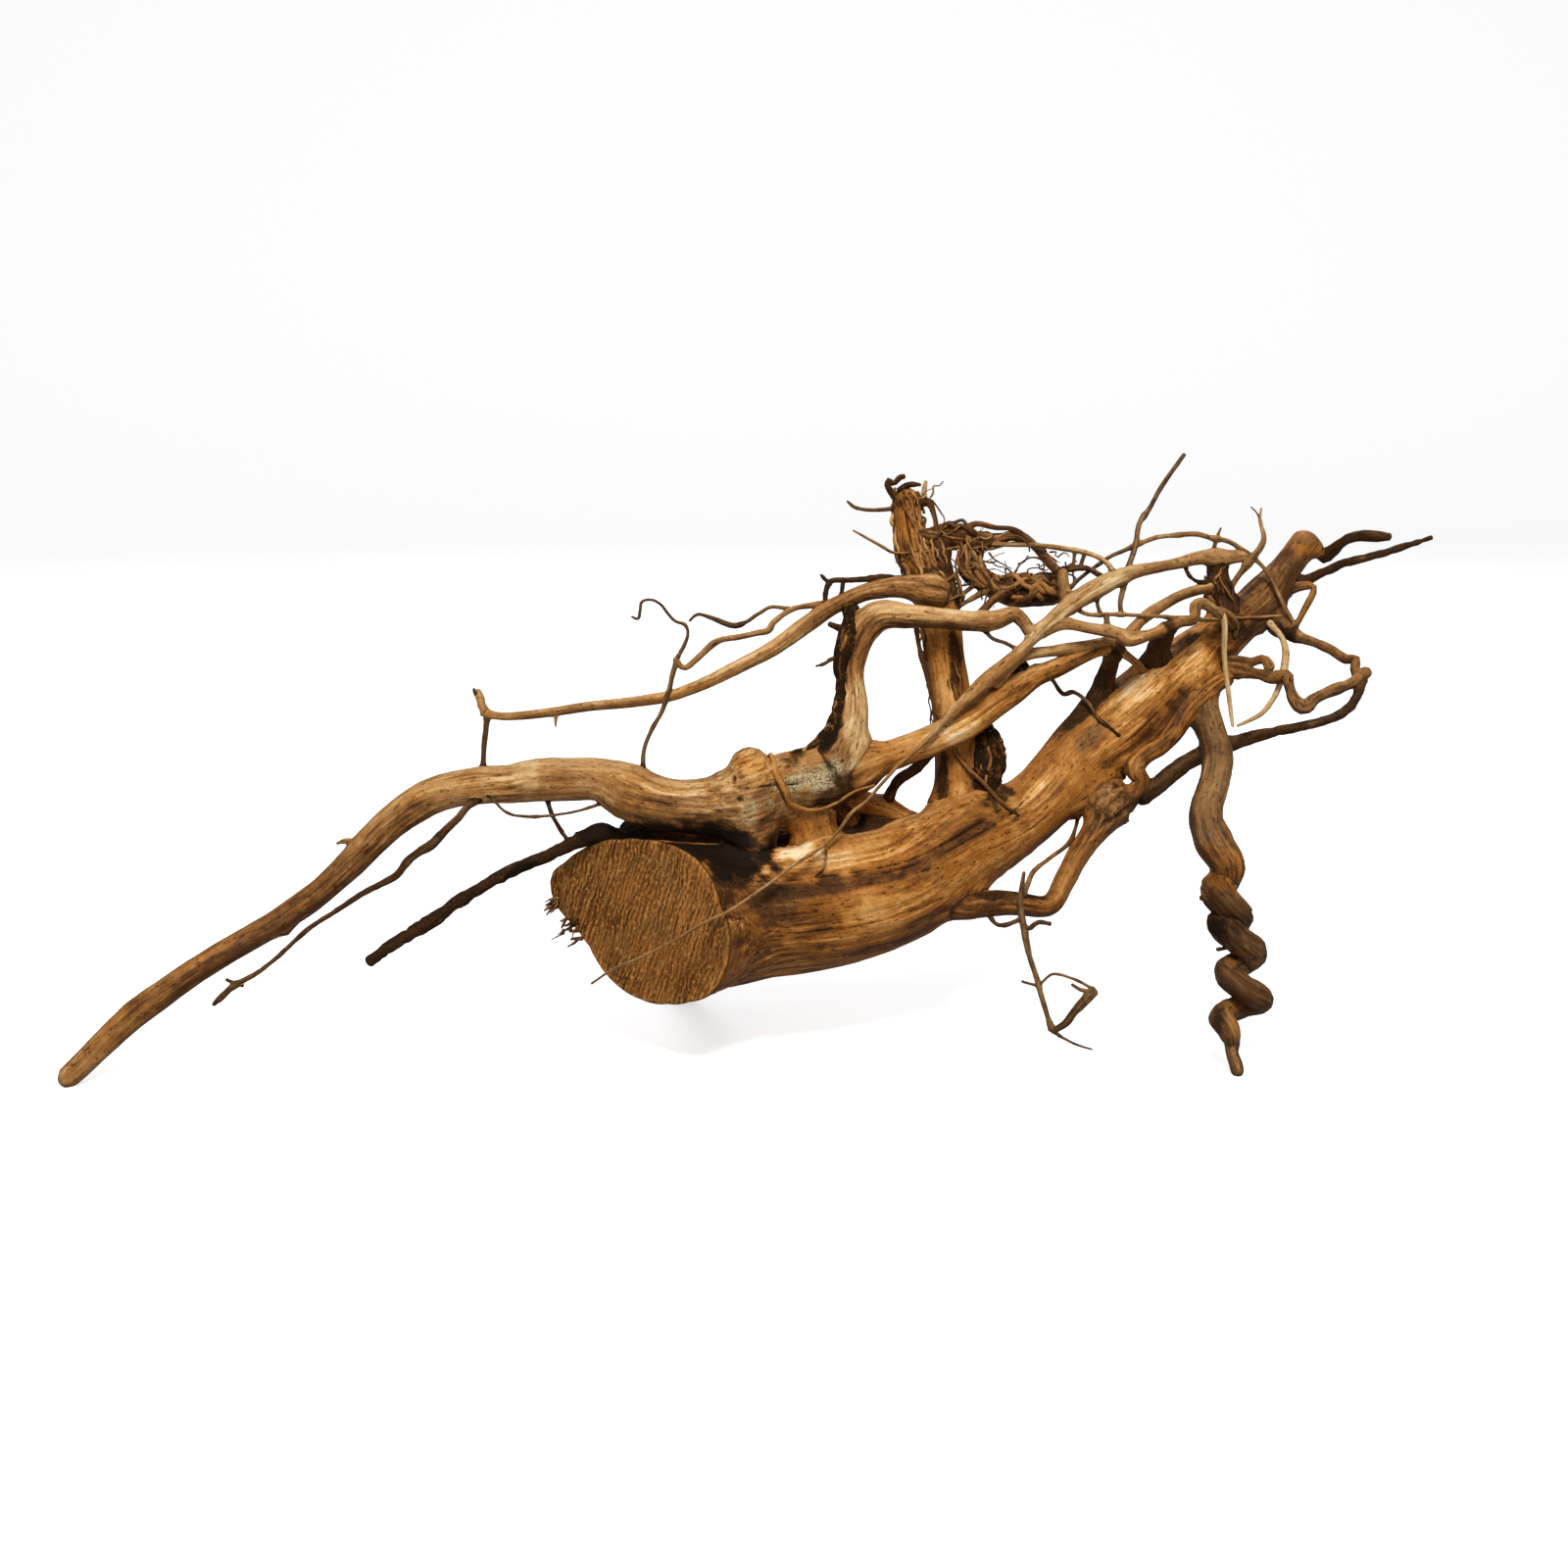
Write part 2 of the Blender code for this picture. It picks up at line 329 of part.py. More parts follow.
LOWER_ROOTS = {
    "side_root": (8, 1, [
        (1256, 690, 50, 6), (1238, 699, 44, 6.6), (1222, 713, 38, 7), (1210, 728, 34, 7.4),
        (1200, 746, 30, 7.4), (1186, 762, 28, 6.2), (1170, 772, 25, 6.4), (1159, 784, 24, 7.4),
        (1164, 797, 26, 6.6), (1156, 810, 28, 7.4), (1142, 816, 29, 12), (1132, 824, 28, 16),
        (1122, 840, 24, 11), (1109, 859, 18, 9.6), (1095, 881, 10, 9.2), (1084, 903, 2, 9),
        (1074, 921, -6, 9), (1060, 925, -10, 8.8), (1040, 922, -14, 9.8), (1020, 921, -17, 10.2),
        (1000, 925, -20, 9), (982, 927, -22, 8.6), (955, 918, -18, 9)]),
    "thin_link": (4, 1, [
        (1101, 820, 38, 2.2), (1098, 842, 28, 1.8), (1090, 861, 16, 1.8), (1070, 876, 4, 1.8),
        (1055, 889, -6, 1.7), (1049, 902, -14, 1.6), (1044, 916, -22, 2)]),
    "fallen_twig": (4, 1, [
        (1045, 889, -24, 1.4), (1043, 905, -25, 2.2), (1041, 924, -26, 2.4), (1045, 950, -30, 2.3),
        (1051, 977, -36, 2.2), (1060, 1005, -42, 2.3), (1067, 1030, -48, 2.1),
        (1074, 1053, -54, 2)]),
    "twig_elbow": (4, 1, [
        (1072, 1053, -54, 2.2), (1087, 1045, -56, 3.2), (1096, 1034, -58, 3.2),
        (1108, 1021, -60, 3.2), (1118, 1009, -62, 2.8)]),
    "twig_loop": (4, 1, [
        (1059, 1007, -42, 1.2), (1069, 997, -46, 1.1), (1078, 994, -50, 1.1),
        (1098, 1000, -56, 1.2), (1118, 1010, -62, 1.6)]),
    "twig_spur": (4, 1, [(1093, 1004, -60, 1.3), (1102, 1010, -61, 1.6), (1114, 1013, -62, 1.8)]),
    "twig_tip": (4, 1, [(1074, 1052, -54, 1), (1092, 1063, -56, 0.7), (1115, 1071, -58, 0.6)]),
    "twig_side": (4, 1, [(1042, 1001, -42, 0.7), (1061, 1006, -42, 1)]),
    "left_hook": (4, 1, [
        (1008, 930, -22, 1.8), (1015, 942, -26, 1.4), (1026, 944, -28, 1.4), (1042, 938, -28, 1.4)]),
    "right_hook": (4, 1, [
        (1043, 943, -29, 1.4), (1050, 947, -31, 1.4), (1060, 941, -33, 1.4), (1073, 943, -34, 1)]),
}

CORKSCREW = {
    "corkscrew": (10, 2, [
        (1222, 694, 58, 14), (1226, 716, 48, 13), (1234, 742, 38, 12), (1242, 770, 28, 12),
        (1238, 800, 16, 12.5), (1231, 830, 4, 13.5), (1237, 856, -6, 15.5), (1252, 882, -10, 14.5),
        (1248, 899, -4, 13), (1242, 910, -17, 12.8), (1252, 923, -31, 12.8), (1262, 934, -24, 12),
        (1254, 939, -13, 11.6), (1247, 943, -26, 12), (1262, 957, -40, 12.4),
        (1278, 971, -34, 11.8), (1268, 982, -25, 10.6), (1251, 992, -40, 10.6),
        (1268, 1009, -56, 11.6), (1286, 1020, -48, 11), (1268, 1027, -38, 9.6),
        (1247, 1037, -52, 10.4), (1254, 1051, -63, 9.6), (1257, 1062, -58, 7),
        (1257, 1074, -60, 5), (1261, 1087, -66, 5.6), (1264, 1099, -71, 4.4)]),
    "coil_nub": (4, 1, [(1236, 914, -22, 2), (1224, 917, -22, 1.8)]),
    "coil_thorn": (4, 1, [(1268, 968, -36, 1.6), (1254, 967, -36, 1.4), (1241, 969, -36, 1)]),
}

LIMB_GROUPS = (
    TRUNK_SIDE, LEFT_LIMB, LEFT_TWIGS, LONG_BRANCH, UPRIGHT_ONE, DIAGONAL, UPRIGHT_TWO, TANGLE,
    UPPER_RIGHT, RIGHT_ROOTS, LOWER_ROOTS, CORKSCREW)


def clear_scene():
    for obj in list(bpy.data.objects):
        bpy.data.objects.remove(obj, do_unlink=True)


def collection(name):
    made = bpy.data.collections.new(name)
    bpy.context.scene.collection.children.link(made)
    return made


def place(x, y, depth):
    """World position of picture point (x, y) at the given depth behind the middle plane."""
    scale = MM_PER_PIXEL * (1.0 + depth / VIEW_DISTANCE)
    across = (x - MIDDLE_PIXEL) * scale
    up = (MIDDLE_PIXEL - y) * scale
    back = up * math.sin(VIEW_PITCH) + depth * math.cos(VIEW_PITCH)
    height = MIDDLE_HEIGHT + up * math.cos(VIEW_PITCH) - depth * math.sin(VIEW_PITCH)
    return Vector((across - ORIGIN_X, back - ORIGIN_Y, height)) * MM


def smooth_course(points, steps):
    """Catmull-Rom curve through the points, with the given number of steps between two of them."""
    if steps == 1:
        return points
    path = [points[0]] + points + [points[-1]]
    course = []
    for before, start, end, after in zip(path, path[1:], path[2:], path[3:]):
        for step in range(steps):
            t = step / steps
            course.append(0.5 * (
                2.0 * start + (end - before) * t
                + (2.0 * before - 5.0 * start + 4.0 * end - after) * t ** 2
                + (3.0 * start - before - 3.0 * end + after) * t ** 3))
    course.append(points[-1])
    return course


def limb(name, sides, steps, points, target):
    """Closed tube along one course, made a mesh with its caps welded."""
    course = [Vector((*place(x, y, depth), radius * MM)) for x, y, depth, radius in points]
    course = smooth_course(course, steps)
    curve = bpy.data.curves.new(name, "CURVE")
    curve.dimensions = "3D"
    curve.bevel_depth = 1.0
    curve.bevel_resolution = (sides - 4) // 2
    curve.use_fill_caps = True
    spline = curve.splines.new("POLY")
    spline.points.add(len(course) - 1)
    for point, station in zip(spline.points, course):
        point.co = (station[0], station[1], station[2], 1.0)
        point.radius = station[3]
    tube = bpy.data.objects.new(name, curve)
    target.objects.link(tube)
    bpy.context.view_layer.update()
    evaluated = tube.evaluated_get(bpy.context.evaluated_depsgraph_get())
    mesh = bpy.data.meshes.new_from_object(evaluated)
    weld(mesh)
    solid = bpy.data.objects.new(name + "_solid", mesh)
    solid.matrix_world = tube.matrix_world
    target.objects.link(solid)
    bpy.data.objects.remove(tube)
    bpy.data.curves.remove(curve)
    return solid


def weld(mesh):
    shape = bmesh.new()
    shape.from_mesh(mesh)
    bmesh.ops.remove_doubles(shape, verts=shape.verts, dist=WELD)
    bmesh.ops.recalc_face_normals(shape, faces=shape.faces)
    shape.to_mesh(mesh)
    shape.free()


def cutter(name, size, matrix, target):
    """Cube whose top face lies on the matrix's XY plane and faces its +Z."""
    mesh = bpy.data.meshes.new(name)
    shape = bmesh.new()
    bmesh.ops.create_cube(shape, size=size, matrix=Matrix.Translation((0.0, 0.0, -size / 2.0)))
    shape.to_mesh(mesh)
    shape.free()
    box = bpy.data.objects.new(name, mesh)
    box.matrix_world = matrix
    box.hide_render = True
    box.display_type = "WIRE"
    target.objects.link(box)
    return box


def sawn_face_cutter(target):
    """Box on the outer side of the sawn face, which is upright and faces the lower left."""
    turned = (-SAWN_FACE_NORMAL).to_track_quat("Z", "Y").to_matrix().to_4x4()
    return cutter("saw_cut", CUTTER_SIZE, Matrix.Translation(place(*SAWN_FACE_AT)) @ turned, target)


def ground_cutter(target):
    return cutter("ground_cut", GROUND_SIZE, Matrix.Identity(4), target)


def apply_boolean(obj, operation, other=None, members=None):
    modifier = obj.modifiers.new(operation.title(), "BOOLEAN")
    modifier.operation = operation
    modifier.solver = "MANIFOLD"
    if members:
        modifier.operand_type = "COLLECTION"
        modifier.collection = members
    else:
        modifier.object = other
    bpy.context.view_layer.objects.active = obj
    bpy.ops.object.modifier_apply(modifier=modifier.name)


def dissolve_flat_faces(obj):
    modifier = obj.modifiers.new("Flat faces", "DECIMATE")
    modifier.decimate_type = "DISSOLVE"
    modifier.angle_limit = FLAT_ANGLE
    bpy.context.view_layer.objects.active = obj
    bpy.ops.object.modifier_apply(modifier=modifier.name)


def wood_material():
    material = bpy.data.materials.new("wood")
    material.use_nodes = True
    shader = material.node_tree.nodes["Principled BSDF"]
    shader.inputs["Base Color"].default_value = (0.30, 0.155, 0.055, 1.0)
    shader.inputs["Roughness"].default_value = 0.62
    shader.inputs["Metallic"].default_value = 0.0
    return material


def unite(piece, groups, target):
    """Union of the piece with every limb of the groups."""
    members = collection("limbs")
    solids = []
    for group in groups:
        for name, (sides, steps, points) in group.items():
            solids.append(limb(name, sides, steps, points, members))
    if piece is None:
        piece = solids.pop(0)
        members.objects.unlink(piece)
        target.objects.link(piece)
    apply_boolean(piece, "UNION", members=members)
    for solid in solids:
        bpy.data.objects.remove(solid)
    bpy.data.collections.remove(members)
    return piece


def build():
    clear_scene()
    wood = collection("bogwood")
    cutters = collection("cutters")
    piece = unite(None, [BUTT], wood)
    apply_boolean(piece, "DIFFERENCE", other=sawn_face_cutter(cutters))
    unite(piece, LIMB_GROUPS, wood)
    apply_boolean(piece, "DIFFERENCE", other=ground_cutter(cutters))
    dissolve_flat_faces(piece)
    piece.name = "bogwood"
    piece.data.name = "bogwood"
    piece.data.materials.clear()
    piece.data.materials.append(wood_material())
    piece.data.shade_smooth()
    piece.data.set_sharp_from_angle(angle=math.radians(50.0))


build()
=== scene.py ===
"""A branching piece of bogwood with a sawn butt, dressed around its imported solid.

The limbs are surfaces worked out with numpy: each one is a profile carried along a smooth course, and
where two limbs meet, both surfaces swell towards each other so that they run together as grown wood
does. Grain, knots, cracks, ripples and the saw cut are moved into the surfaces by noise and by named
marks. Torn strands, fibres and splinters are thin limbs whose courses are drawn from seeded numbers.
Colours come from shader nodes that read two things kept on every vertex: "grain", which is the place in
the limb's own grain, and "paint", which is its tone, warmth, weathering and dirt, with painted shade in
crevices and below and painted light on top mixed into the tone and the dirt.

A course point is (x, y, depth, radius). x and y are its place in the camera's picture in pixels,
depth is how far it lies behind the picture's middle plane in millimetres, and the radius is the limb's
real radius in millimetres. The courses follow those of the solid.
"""

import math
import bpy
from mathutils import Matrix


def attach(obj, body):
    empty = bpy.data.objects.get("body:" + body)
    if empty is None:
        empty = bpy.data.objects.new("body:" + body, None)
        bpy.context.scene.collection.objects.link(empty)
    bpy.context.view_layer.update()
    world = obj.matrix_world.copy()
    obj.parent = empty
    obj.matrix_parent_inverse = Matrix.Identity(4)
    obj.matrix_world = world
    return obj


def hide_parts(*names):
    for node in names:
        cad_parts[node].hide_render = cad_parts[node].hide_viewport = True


bl_info = {
    "name": "Bogwood",
    "version": (1, 0, 0),
    "blender": (4, 5, 0),
    "location": "3D View > Sidebar > Bogwood",
    "description": "Grows a sawn, branching bogwood root with its twigs, bark and saw cut",
    "category": "Object",
}

import bpy
import numpy as np
from bpy.props import FloatProperty, FloatVectorProperty, IntProperty, PointerProperty
from collections import namedtuple

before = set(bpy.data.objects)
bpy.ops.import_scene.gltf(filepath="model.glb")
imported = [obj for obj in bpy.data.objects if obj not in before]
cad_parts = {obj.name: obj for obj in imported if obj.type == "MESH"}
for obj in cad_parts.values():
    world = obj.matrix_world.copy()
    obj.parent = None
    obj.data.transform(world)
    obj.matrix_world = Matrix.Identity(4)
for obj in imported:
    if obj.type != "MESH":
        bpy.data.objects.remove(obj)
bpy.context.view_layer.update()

MM = 0.001
MM_PER_PIXEL = 0.8
MIDDLE_PIXEL = 800.0
VIEW_DISTANCE = 1800.0
VIEW_PITCH = math.radians(12.0)
MIDDLE_HEIGHT = 209.5
ORIGIN_X = -14.0
ORIGIN_Y = 3.0
VIEW_FORWARD = np.array([0.0, math.cos(VIEW_PITCH), -math.sin(VIEW_PITCH)])
VIEW_UP = np.array([0.0, math.sin(VIEW_PITCH), math.cos(VIEW_PITCH)])
PICTURE_MIDDLE = np.array([-ORIGIN_X, -ORIGIN_Y, MIDDLE_HEIGHT]) * MM

# The saw cut: a point of its plane and the radius there, the way it faces, how far along the trunk its
# rings turn square to the grain, and its outline in the picture. The rim length is the stretch of trunk
# whose surface is led from that outline.
SAW_FACE_MIDDLE = (655, 940, -60)
SAW_RADIUS = 69.0
SAW_FACE_NORMAL = np.array([-0.67, -0.74, 0.0]) / math.hypot(0.67, 0.74)
SAW_TURN_LENGTH = 0.12
SAW_OUTLINE = (
    (563, 889), (575, 880), (591, 868), (610, 860), (633, 857), (656, 857), (678, 860), (696, 867),
    (710, 876), (727, 899), (734, 922), (742, 942), (745, 962), (742, 984), (735, 1002), (722, 1017),
    (702, 1023), (680, 1025), (652, 1020), (632, 1009), (615, 992), (600, 966), (587, 947),
    (568, 927), (561, 911), (560, 899))
SAW_RIM_LENGTH = 0.085
SAW_RIM_DROP = 1.6 * MM
SAW_RIM_WIDTH = 2.2 * MM
SAW_MARK_TILT = math.radians(22.0)

# Warm spots on the saw cut: x, y and size in pixels.
SAW_WARM_SPOTS = ((662, 965, 17.0), (603, 962, 14.0), (690, 985, 18.0), (640, 905, 14.0))

# Look of a limb: tone runs from 0 black-brown to 1 cream, warm from 0 grey to 1 orange, weather is the
# share of grey-green skin, dirt the share of black crust, to which painted shade in crevices, cracks,
# ripples and dark patches is added later. lump, groove and knots are the sizes of the relief as shares
# of the radius, rough is the depth in millimetres of torn bark, and wander is how far a limb strays
# from its course, as a share of its radius.
Look = namedtuple("Look", "tone warm weather dirt lump groove knots rough wander")
LOOKS = {
    "honey": Look(0.49, 0.92, 0.02, 0.12, 0.045, 0.034, 0.02, 0.0, 0.0),
    "tan": Look(0.51, 0.56, 0.04, 0.10, 0.050, 0.034, 0.04, 0.0, 0.0),
    "pale": Look(0.66, 0.22, 0.05, 0.06, 0.050, 0.050, 0.12, 0.0, 0.25),
    "root": Look(0.46, 0.42, 0.04, 0.18, 0.060, 0.060, 0.18, 0.0, 0.35),
    "twig": Look(0.28, 0.32, 0.04, 0.34, 0.080, 0.080, 0.24, 0.0, 0.45),
    "brown": Look(0.28, 0.75, 0.02, 0.26, 0.090, 0.080, 0.14, 0.3, 0.25),
    "red": Look(0.36, 0.88, 0.02, 0.20, 0.090, 0.060, 0.16, 0.2, 0.10),
    "coil": Look(0.30, 0.40, 0.04, 0.26, 0.100, 0.120, 0.06, 0.4, 0.0),
    "dark": Look(0.13, 0.50, 0.01, 0.52, 0.110, 0.110, 0.18, 0.8, 0.22),
    "knobby": Look(0.34, 0.62, 0.02, 0.30, 0.130, 0.080, 0.34, 0.3, 0.15),
    "ochre": Look(0.54, 0.85, 0.0, 0.12, 0.06, 0.05, 0.20, 0.0, 0.3),
    "straw": Look(0.47, 0.45, 0.0, 0.10, 0.06, 0.05, 0.20, 0.0, 0.5),
    "dusky": Look(0.20, 0.30, 0.0, 0.44, 0.100, 0.100, 0.26, 0.4, 0.35),
    "sooty": Look(0.07, 0.30, 0.0, 0.70, 0.140, 0.120, 0.22, 1.5, 0.20),
    "fibre": Look(0.26, 0.55, 0.0, 0.20, 0.05, 0.0, 0.10, 0.0, 0.6),
    "strand": Look(0.33, 0.62, 0.0, 0.18, 0.10, 0.08, 0.20, 0.0, 0.3),
    "splinter": Look(0.22, 0.60, 0.0, 0.30, 0.10, 0.10, 0.0, 0.0, 0.0),
    "bark": Look(0.10, 0.30, 0.02, 0.90, 0.180, 0.120, 0.14, 3.2, 0.0),
}

BUTT = {
    "trunk": ("honey", [
        (565, 947, -90, 69), (615, 945, -80, 69), (661, 942, -70, 69), (700, 939, -63, 64),
        (740, 935, -54, 54), (770, 932, -47, 49), (800, 930, -40, 47.5), (858, 922, -25, 48),
        (918, 905, -10, 45), (975, 868, 6, 40), (1010, 851, 15, 33), (1046, 833, 25, 26.5),
        (1075, 804, 33, 28), (1100, 777, 40, 30), (1150, 737, 50, 34), (1190, 700, 60, 30.5),
        (1225, 668, 70, 24.5), (1261, 637, 76, 18.5), (1290, 610, 82, 18.5), (1312, 580, 88, 12.5),
        (1330, 556, 96, 12), (1338, 545, 99, 11)]),
    "butt_lobe": ("honey", [
        (547, 918, -36, 29), (590, 917, -22, 29.5), (690, 901, -6, 31), (780, 905, -10, 26)]),
    "butt_knob": ("honey", [
        (600, 849, -34, 8), (622, 851, -24, 12), (650, 858, -12, 15), (690, 886, -10, 17)]),
}

TRUNK_SIDE = {
    "back_foot": ("brown", [
        (770, 925, -10, 22), (750, 955, 35, 18), (730, 984, 75, 14.5), (707, 1002, 105, 12),
        (690, 1007, 132, 10.5), (672, 999, 158, 9), (655, 994, 178, 6)]),
    "ridge_root": ("honey", [
        (762, 905, -80, 6), (800, 880, -66, 9), (860, 868, -50, 10), (905, 858, -36, 11),
        (950, 843, -18, 11), (1005, 822, -4, 9), (1036, 804, 8, 8), (1064, 779, 22, 8),
        (1096, 739, 34, 7.5), (1124, 717, 44, 7), (1164, 690, 54, 7), (1192, 674, 60, 7),
        (1220, 656, 66, 7), (1244, 640, 70, 7)]),
    "side_flute": ("honey", [
        (760, 992, -40, 8), (830, 975, -36, 10), (900, 956, -26, 11), (960, 920, -14, 10),
        (1010, 884, 2, 8)]),
    # shadow_root is dark wood filling the gap behind the trunk's top under the left limb; its dark look
    # is painted shade.
    "shadow_root": ("dark", [
        (628, 864, -14, 10), (662, 862, -8, 15), (720, 862, 0, 19), (780, 864, -2, 19),
        (840, 858, -2, 17), (885, 850, 12, 15), (930, 858, 18, 16)]),
    "charred_bark": ("bark", [
        (1000, 735, 8, 5), (1008, 755, 5, 8), (1012, 775, 2, 9.5), (1006, 796, 2, 8.5),
        (1003, 815, 4, 8), (1006, 842, 10, 8)]),
    "dark_mass": ("dark", [
        (1240, 572, 56, 7), (1243, 594, 62, 9), (1247, 614, 66, 10), (1254, 636, 72, 11)]),
    "end_burl": ("brown", [
        (1332, 555, 90, 8), (1342, 549, 95, 6.5), (1345, 560, 92, 5)]),
}

LEFT_LIMB = {
    "left_limb": ("tan", [
        (872, 792, -26, 14), (835, 795, -32, 23), (800, 800, -40, 25), (765, 814, -48, 30),
        (734, 820, -50, 23), (710, 820, -50, 19.5), (685, 819, -49, 19.5), (663, 815, -48, 20.5),
        (640, 807, -46, 22.5), (620, 798, -44, 18.5), (600, 795, -42, 17), (550, 796, -35, 17.5),
        (520, 800, -32, 15.5), (485, 802, -27, 15), (450, 809, -22, 14.5), (425, 821, -20, 14),
        (400, 839, -20, 13.5), (380, 858, -20, 13), (360, 879, -21, 12), (340, 898, -24, 11),
        (320, 915, -28, 10.8), (280, 943, -40, 10.2), (240, 966, -48, 10), (200, 990, -60, 10.2),
        (165, 1015, -68, 10.4), (136, 1036, -75, 10.5), (102, 1068, -84, 10), (72, 1097, -92, 9),
        (60, 1105, -94, 7)]),
    "knob_top": ("tan", [
        (765, 773, -60, 8), (765, 780, -61, 14.5), (765, 786, -62, 17.4), (766, 800, -56, 17)]),
    "knob_bottom": ("tan", [
        (768, 862, -54, 9), (768, 856, -54, 16), (767, 842, -52, 21), (766, 822, -48, 24)]),
    "limb_bridge": ("honey", [
        (820, 808, -38, 14), (824, 830, -36, 15), (832, 850, -32, 17), (846, 884, -28, 18)]),
    "loop_root": ("honey", [
        (846, 806, -22, 8), (866, 815, -8, 7.5), (886, 818, 6, 8), (906, 824, 12, 8),
        (928, 838, 10, 7.5), (948, 858, 4, 8)]),
    "bark_tongue": ("brown", [(836, 812, -22, 7), (854, 826, -10, 8), (872, 840, 0, 8)]),
    "limb_thorn": ("tan", [(366, 864, -22, 3.5), (354, 858, -24, 2.5), (343, 861, -25, 1)]),
    "end_bump": ("tan", [(291, 946, -38, 6), (293, 950, -38, 3)]),
}

LEFT_TWIGS = {
    "hanging_twig": ("dusky", [
        (497, 810, -34, 3), (478, 823, -38, 2.6), (468, 835, -42, 2.8), (455, 847, -45, 3.2),
        (440, 862, -48, 4), (428, 869, -50, 3.2), (415, 880, -51, 2.6), (405, 893, -52, 2.8),
        (392, 901, -53, 2.6), (372, 911, -54, 2.2), (345, 928, -55, 1.9), (320, 944, -56, 1.8),
        (303, 958, -57, 1.8), (285, 975, -58, 1.7), (262, 993, -59, 1.7), (240, 1005, -60, 1.9),
        (225, 1018, -61, 2.4), (217, 1026, -61, 1.4)]),
    "twig_tick": ("dusky", [(230, 999, -60, 1.2), (240, 1004, -60, 1.5), (249, 1006, -60, 1)]),
    "dark_stick": ("sooty", [
        (374, 983, -44, 3.2), (400, 965, -42, 4.4), (440, 940, -40, 5.2), (462, 924, -38, 4.4),
        (512, 893, -36, 3.6), (560, 872, -34, 3.8), (590, 859, -34, 5), (612, 851, -32, 7),
        (640, 862, -20, 8)]),
    "stick_fork": ("dark", [
        (556, 806, -38, 1.6), (563, 830, -38, 1.2), (574, 850, -36, 1.3), (584, 862, -34, 1.8)]),
    "limb_fibre": ("twig", [
        (484, 800, -38, 1.2), (503, 816, -42, 1.2), (516, 828, -44, 1.2), (532, 833, -45, 1.2),
        (560, 832, -47, 1.2), (592, 827, -50, 1.2), (618, 818, -52, 1.5)]),
    "branch_link": ("twig", [(493, 790, -30, 2.4), (494, 762, -28, 2), (497, 731, -26, 2.4)]),
    "upper_link": ("twig", [
        (657, 798, -50, 2.4), (657, 768, -45, 1.7), (665, 745, -40, 1.7), (675, 728, -36, 1.8),
        (682, 708, -34, 2), (686, 690, -35, 1.9), (691, 672, -36, 2.2)]),
    "twisty_twig": ("root", [
        (688, 671, -36, 2), (698, 681, -35, 2.4), (709, 674, -34, 2.4), (731, 655, -32, 2.4),
        (754, 650, -31, 2.5), (771, 646, -30, 2.4), (784, 643, -29, 2.8), (790, 634, -28, 2.6),
        (808, 622, -26, 2.3), (826, 618, -25, 2.1), (850, 616, -24, 2.2)]),
    "twig_hook": ("twig", [
        (690, 673, -36, 1.6), (698, 659, -38, 1.5), (702, 647, -40, 1.4), (699, 638, -41, 1.4),
        (689, 634, -42, 1.3), (681, 626, -43, 1.2), (674, 617, -44, 1.1), (665, 612, -45, 1.1),
        (655, 614, -46, 1.2), (653, 623, -47, 1.2), (651, 631, -47, 1.2), (644, 629, -48, 0.8)]),
    "second_twig": ("twig", [
        (703, 634, -13, 1), (712, 627, -14, 1.4), (725, 630, -15, 1.5), (747, 638, -17, 1.6),
        (761, 635, -18, 1.7), (775, 626, -20, 1.7), (787, 619, -22, 1.6), (806, 621, -26, 1.7)]),
}

LONG_BRANCH = {
    "long_branch": ("tan", [
        (491, 724, -26, 3.2), (500, 729, -26, 3.1), (520, 731, -27, 3.2), (560, 727, -28, 3.4),
        (600, 721, -29, 3.7), (640, 717, -30, 4.2), (680, 711, -30, 4.6), (702, 704, -30, 5),
        (722, 696, -30, 5.4), (742, 686, -29, 5.6),
        (762, 676, -28, 5.8), (783, 665, -28, 6), (803, 652, -27, 6.3), (822, 638, -26, 6.4),
        (842, 624, -25, 6.6), (862, 613, -24, 6.6), (884, 604, -23, 6.8), (905, 600, -22, 7.6),
        (925, 599, -20, 9.5), (942, 602, -17, 13), (955, 604, -14, 13), (965, 606, -10, 8)]),
    "branch_stub": ("tan", [
        (496, 729, -26, 3.2), (492, 720, -26, 3), (489, 711, -25, 3.2), (487, 703, -25, 2.6)]),
    "stub_thorn": ("twig", [(491, 712, -25, 2), (485, 707, -27, 1.4), (483, 702, -28, 0.7)]),
    "branch_thorn": ("tan", [(568, 727, -28, 2), (567, 735, -28, 1.4), (567, 742, -28, 0.6)]),
    "spiny_twig": ("dark", [
        (842, 618, -24, 1.5), (843, 603, -22, 1.4), (848, 593, -21, 1.6), (863, 592, -20, 1.5),
        (881, 591, -20, 1.8), (898, 589, -20, 2.2), (914, 590, -19, 1.8), (930, 592, -18, 1.6)]),
    "spiny_fork": ("dark", [(848, 598, -22, 1.4), (841, 590, -22, 1.1), (837, 586, -22, 0.6)]),
    "spiny_post": ("dark", [(861, 590, -20, 1.2), (858, 610, -22, 1.2)]),
}

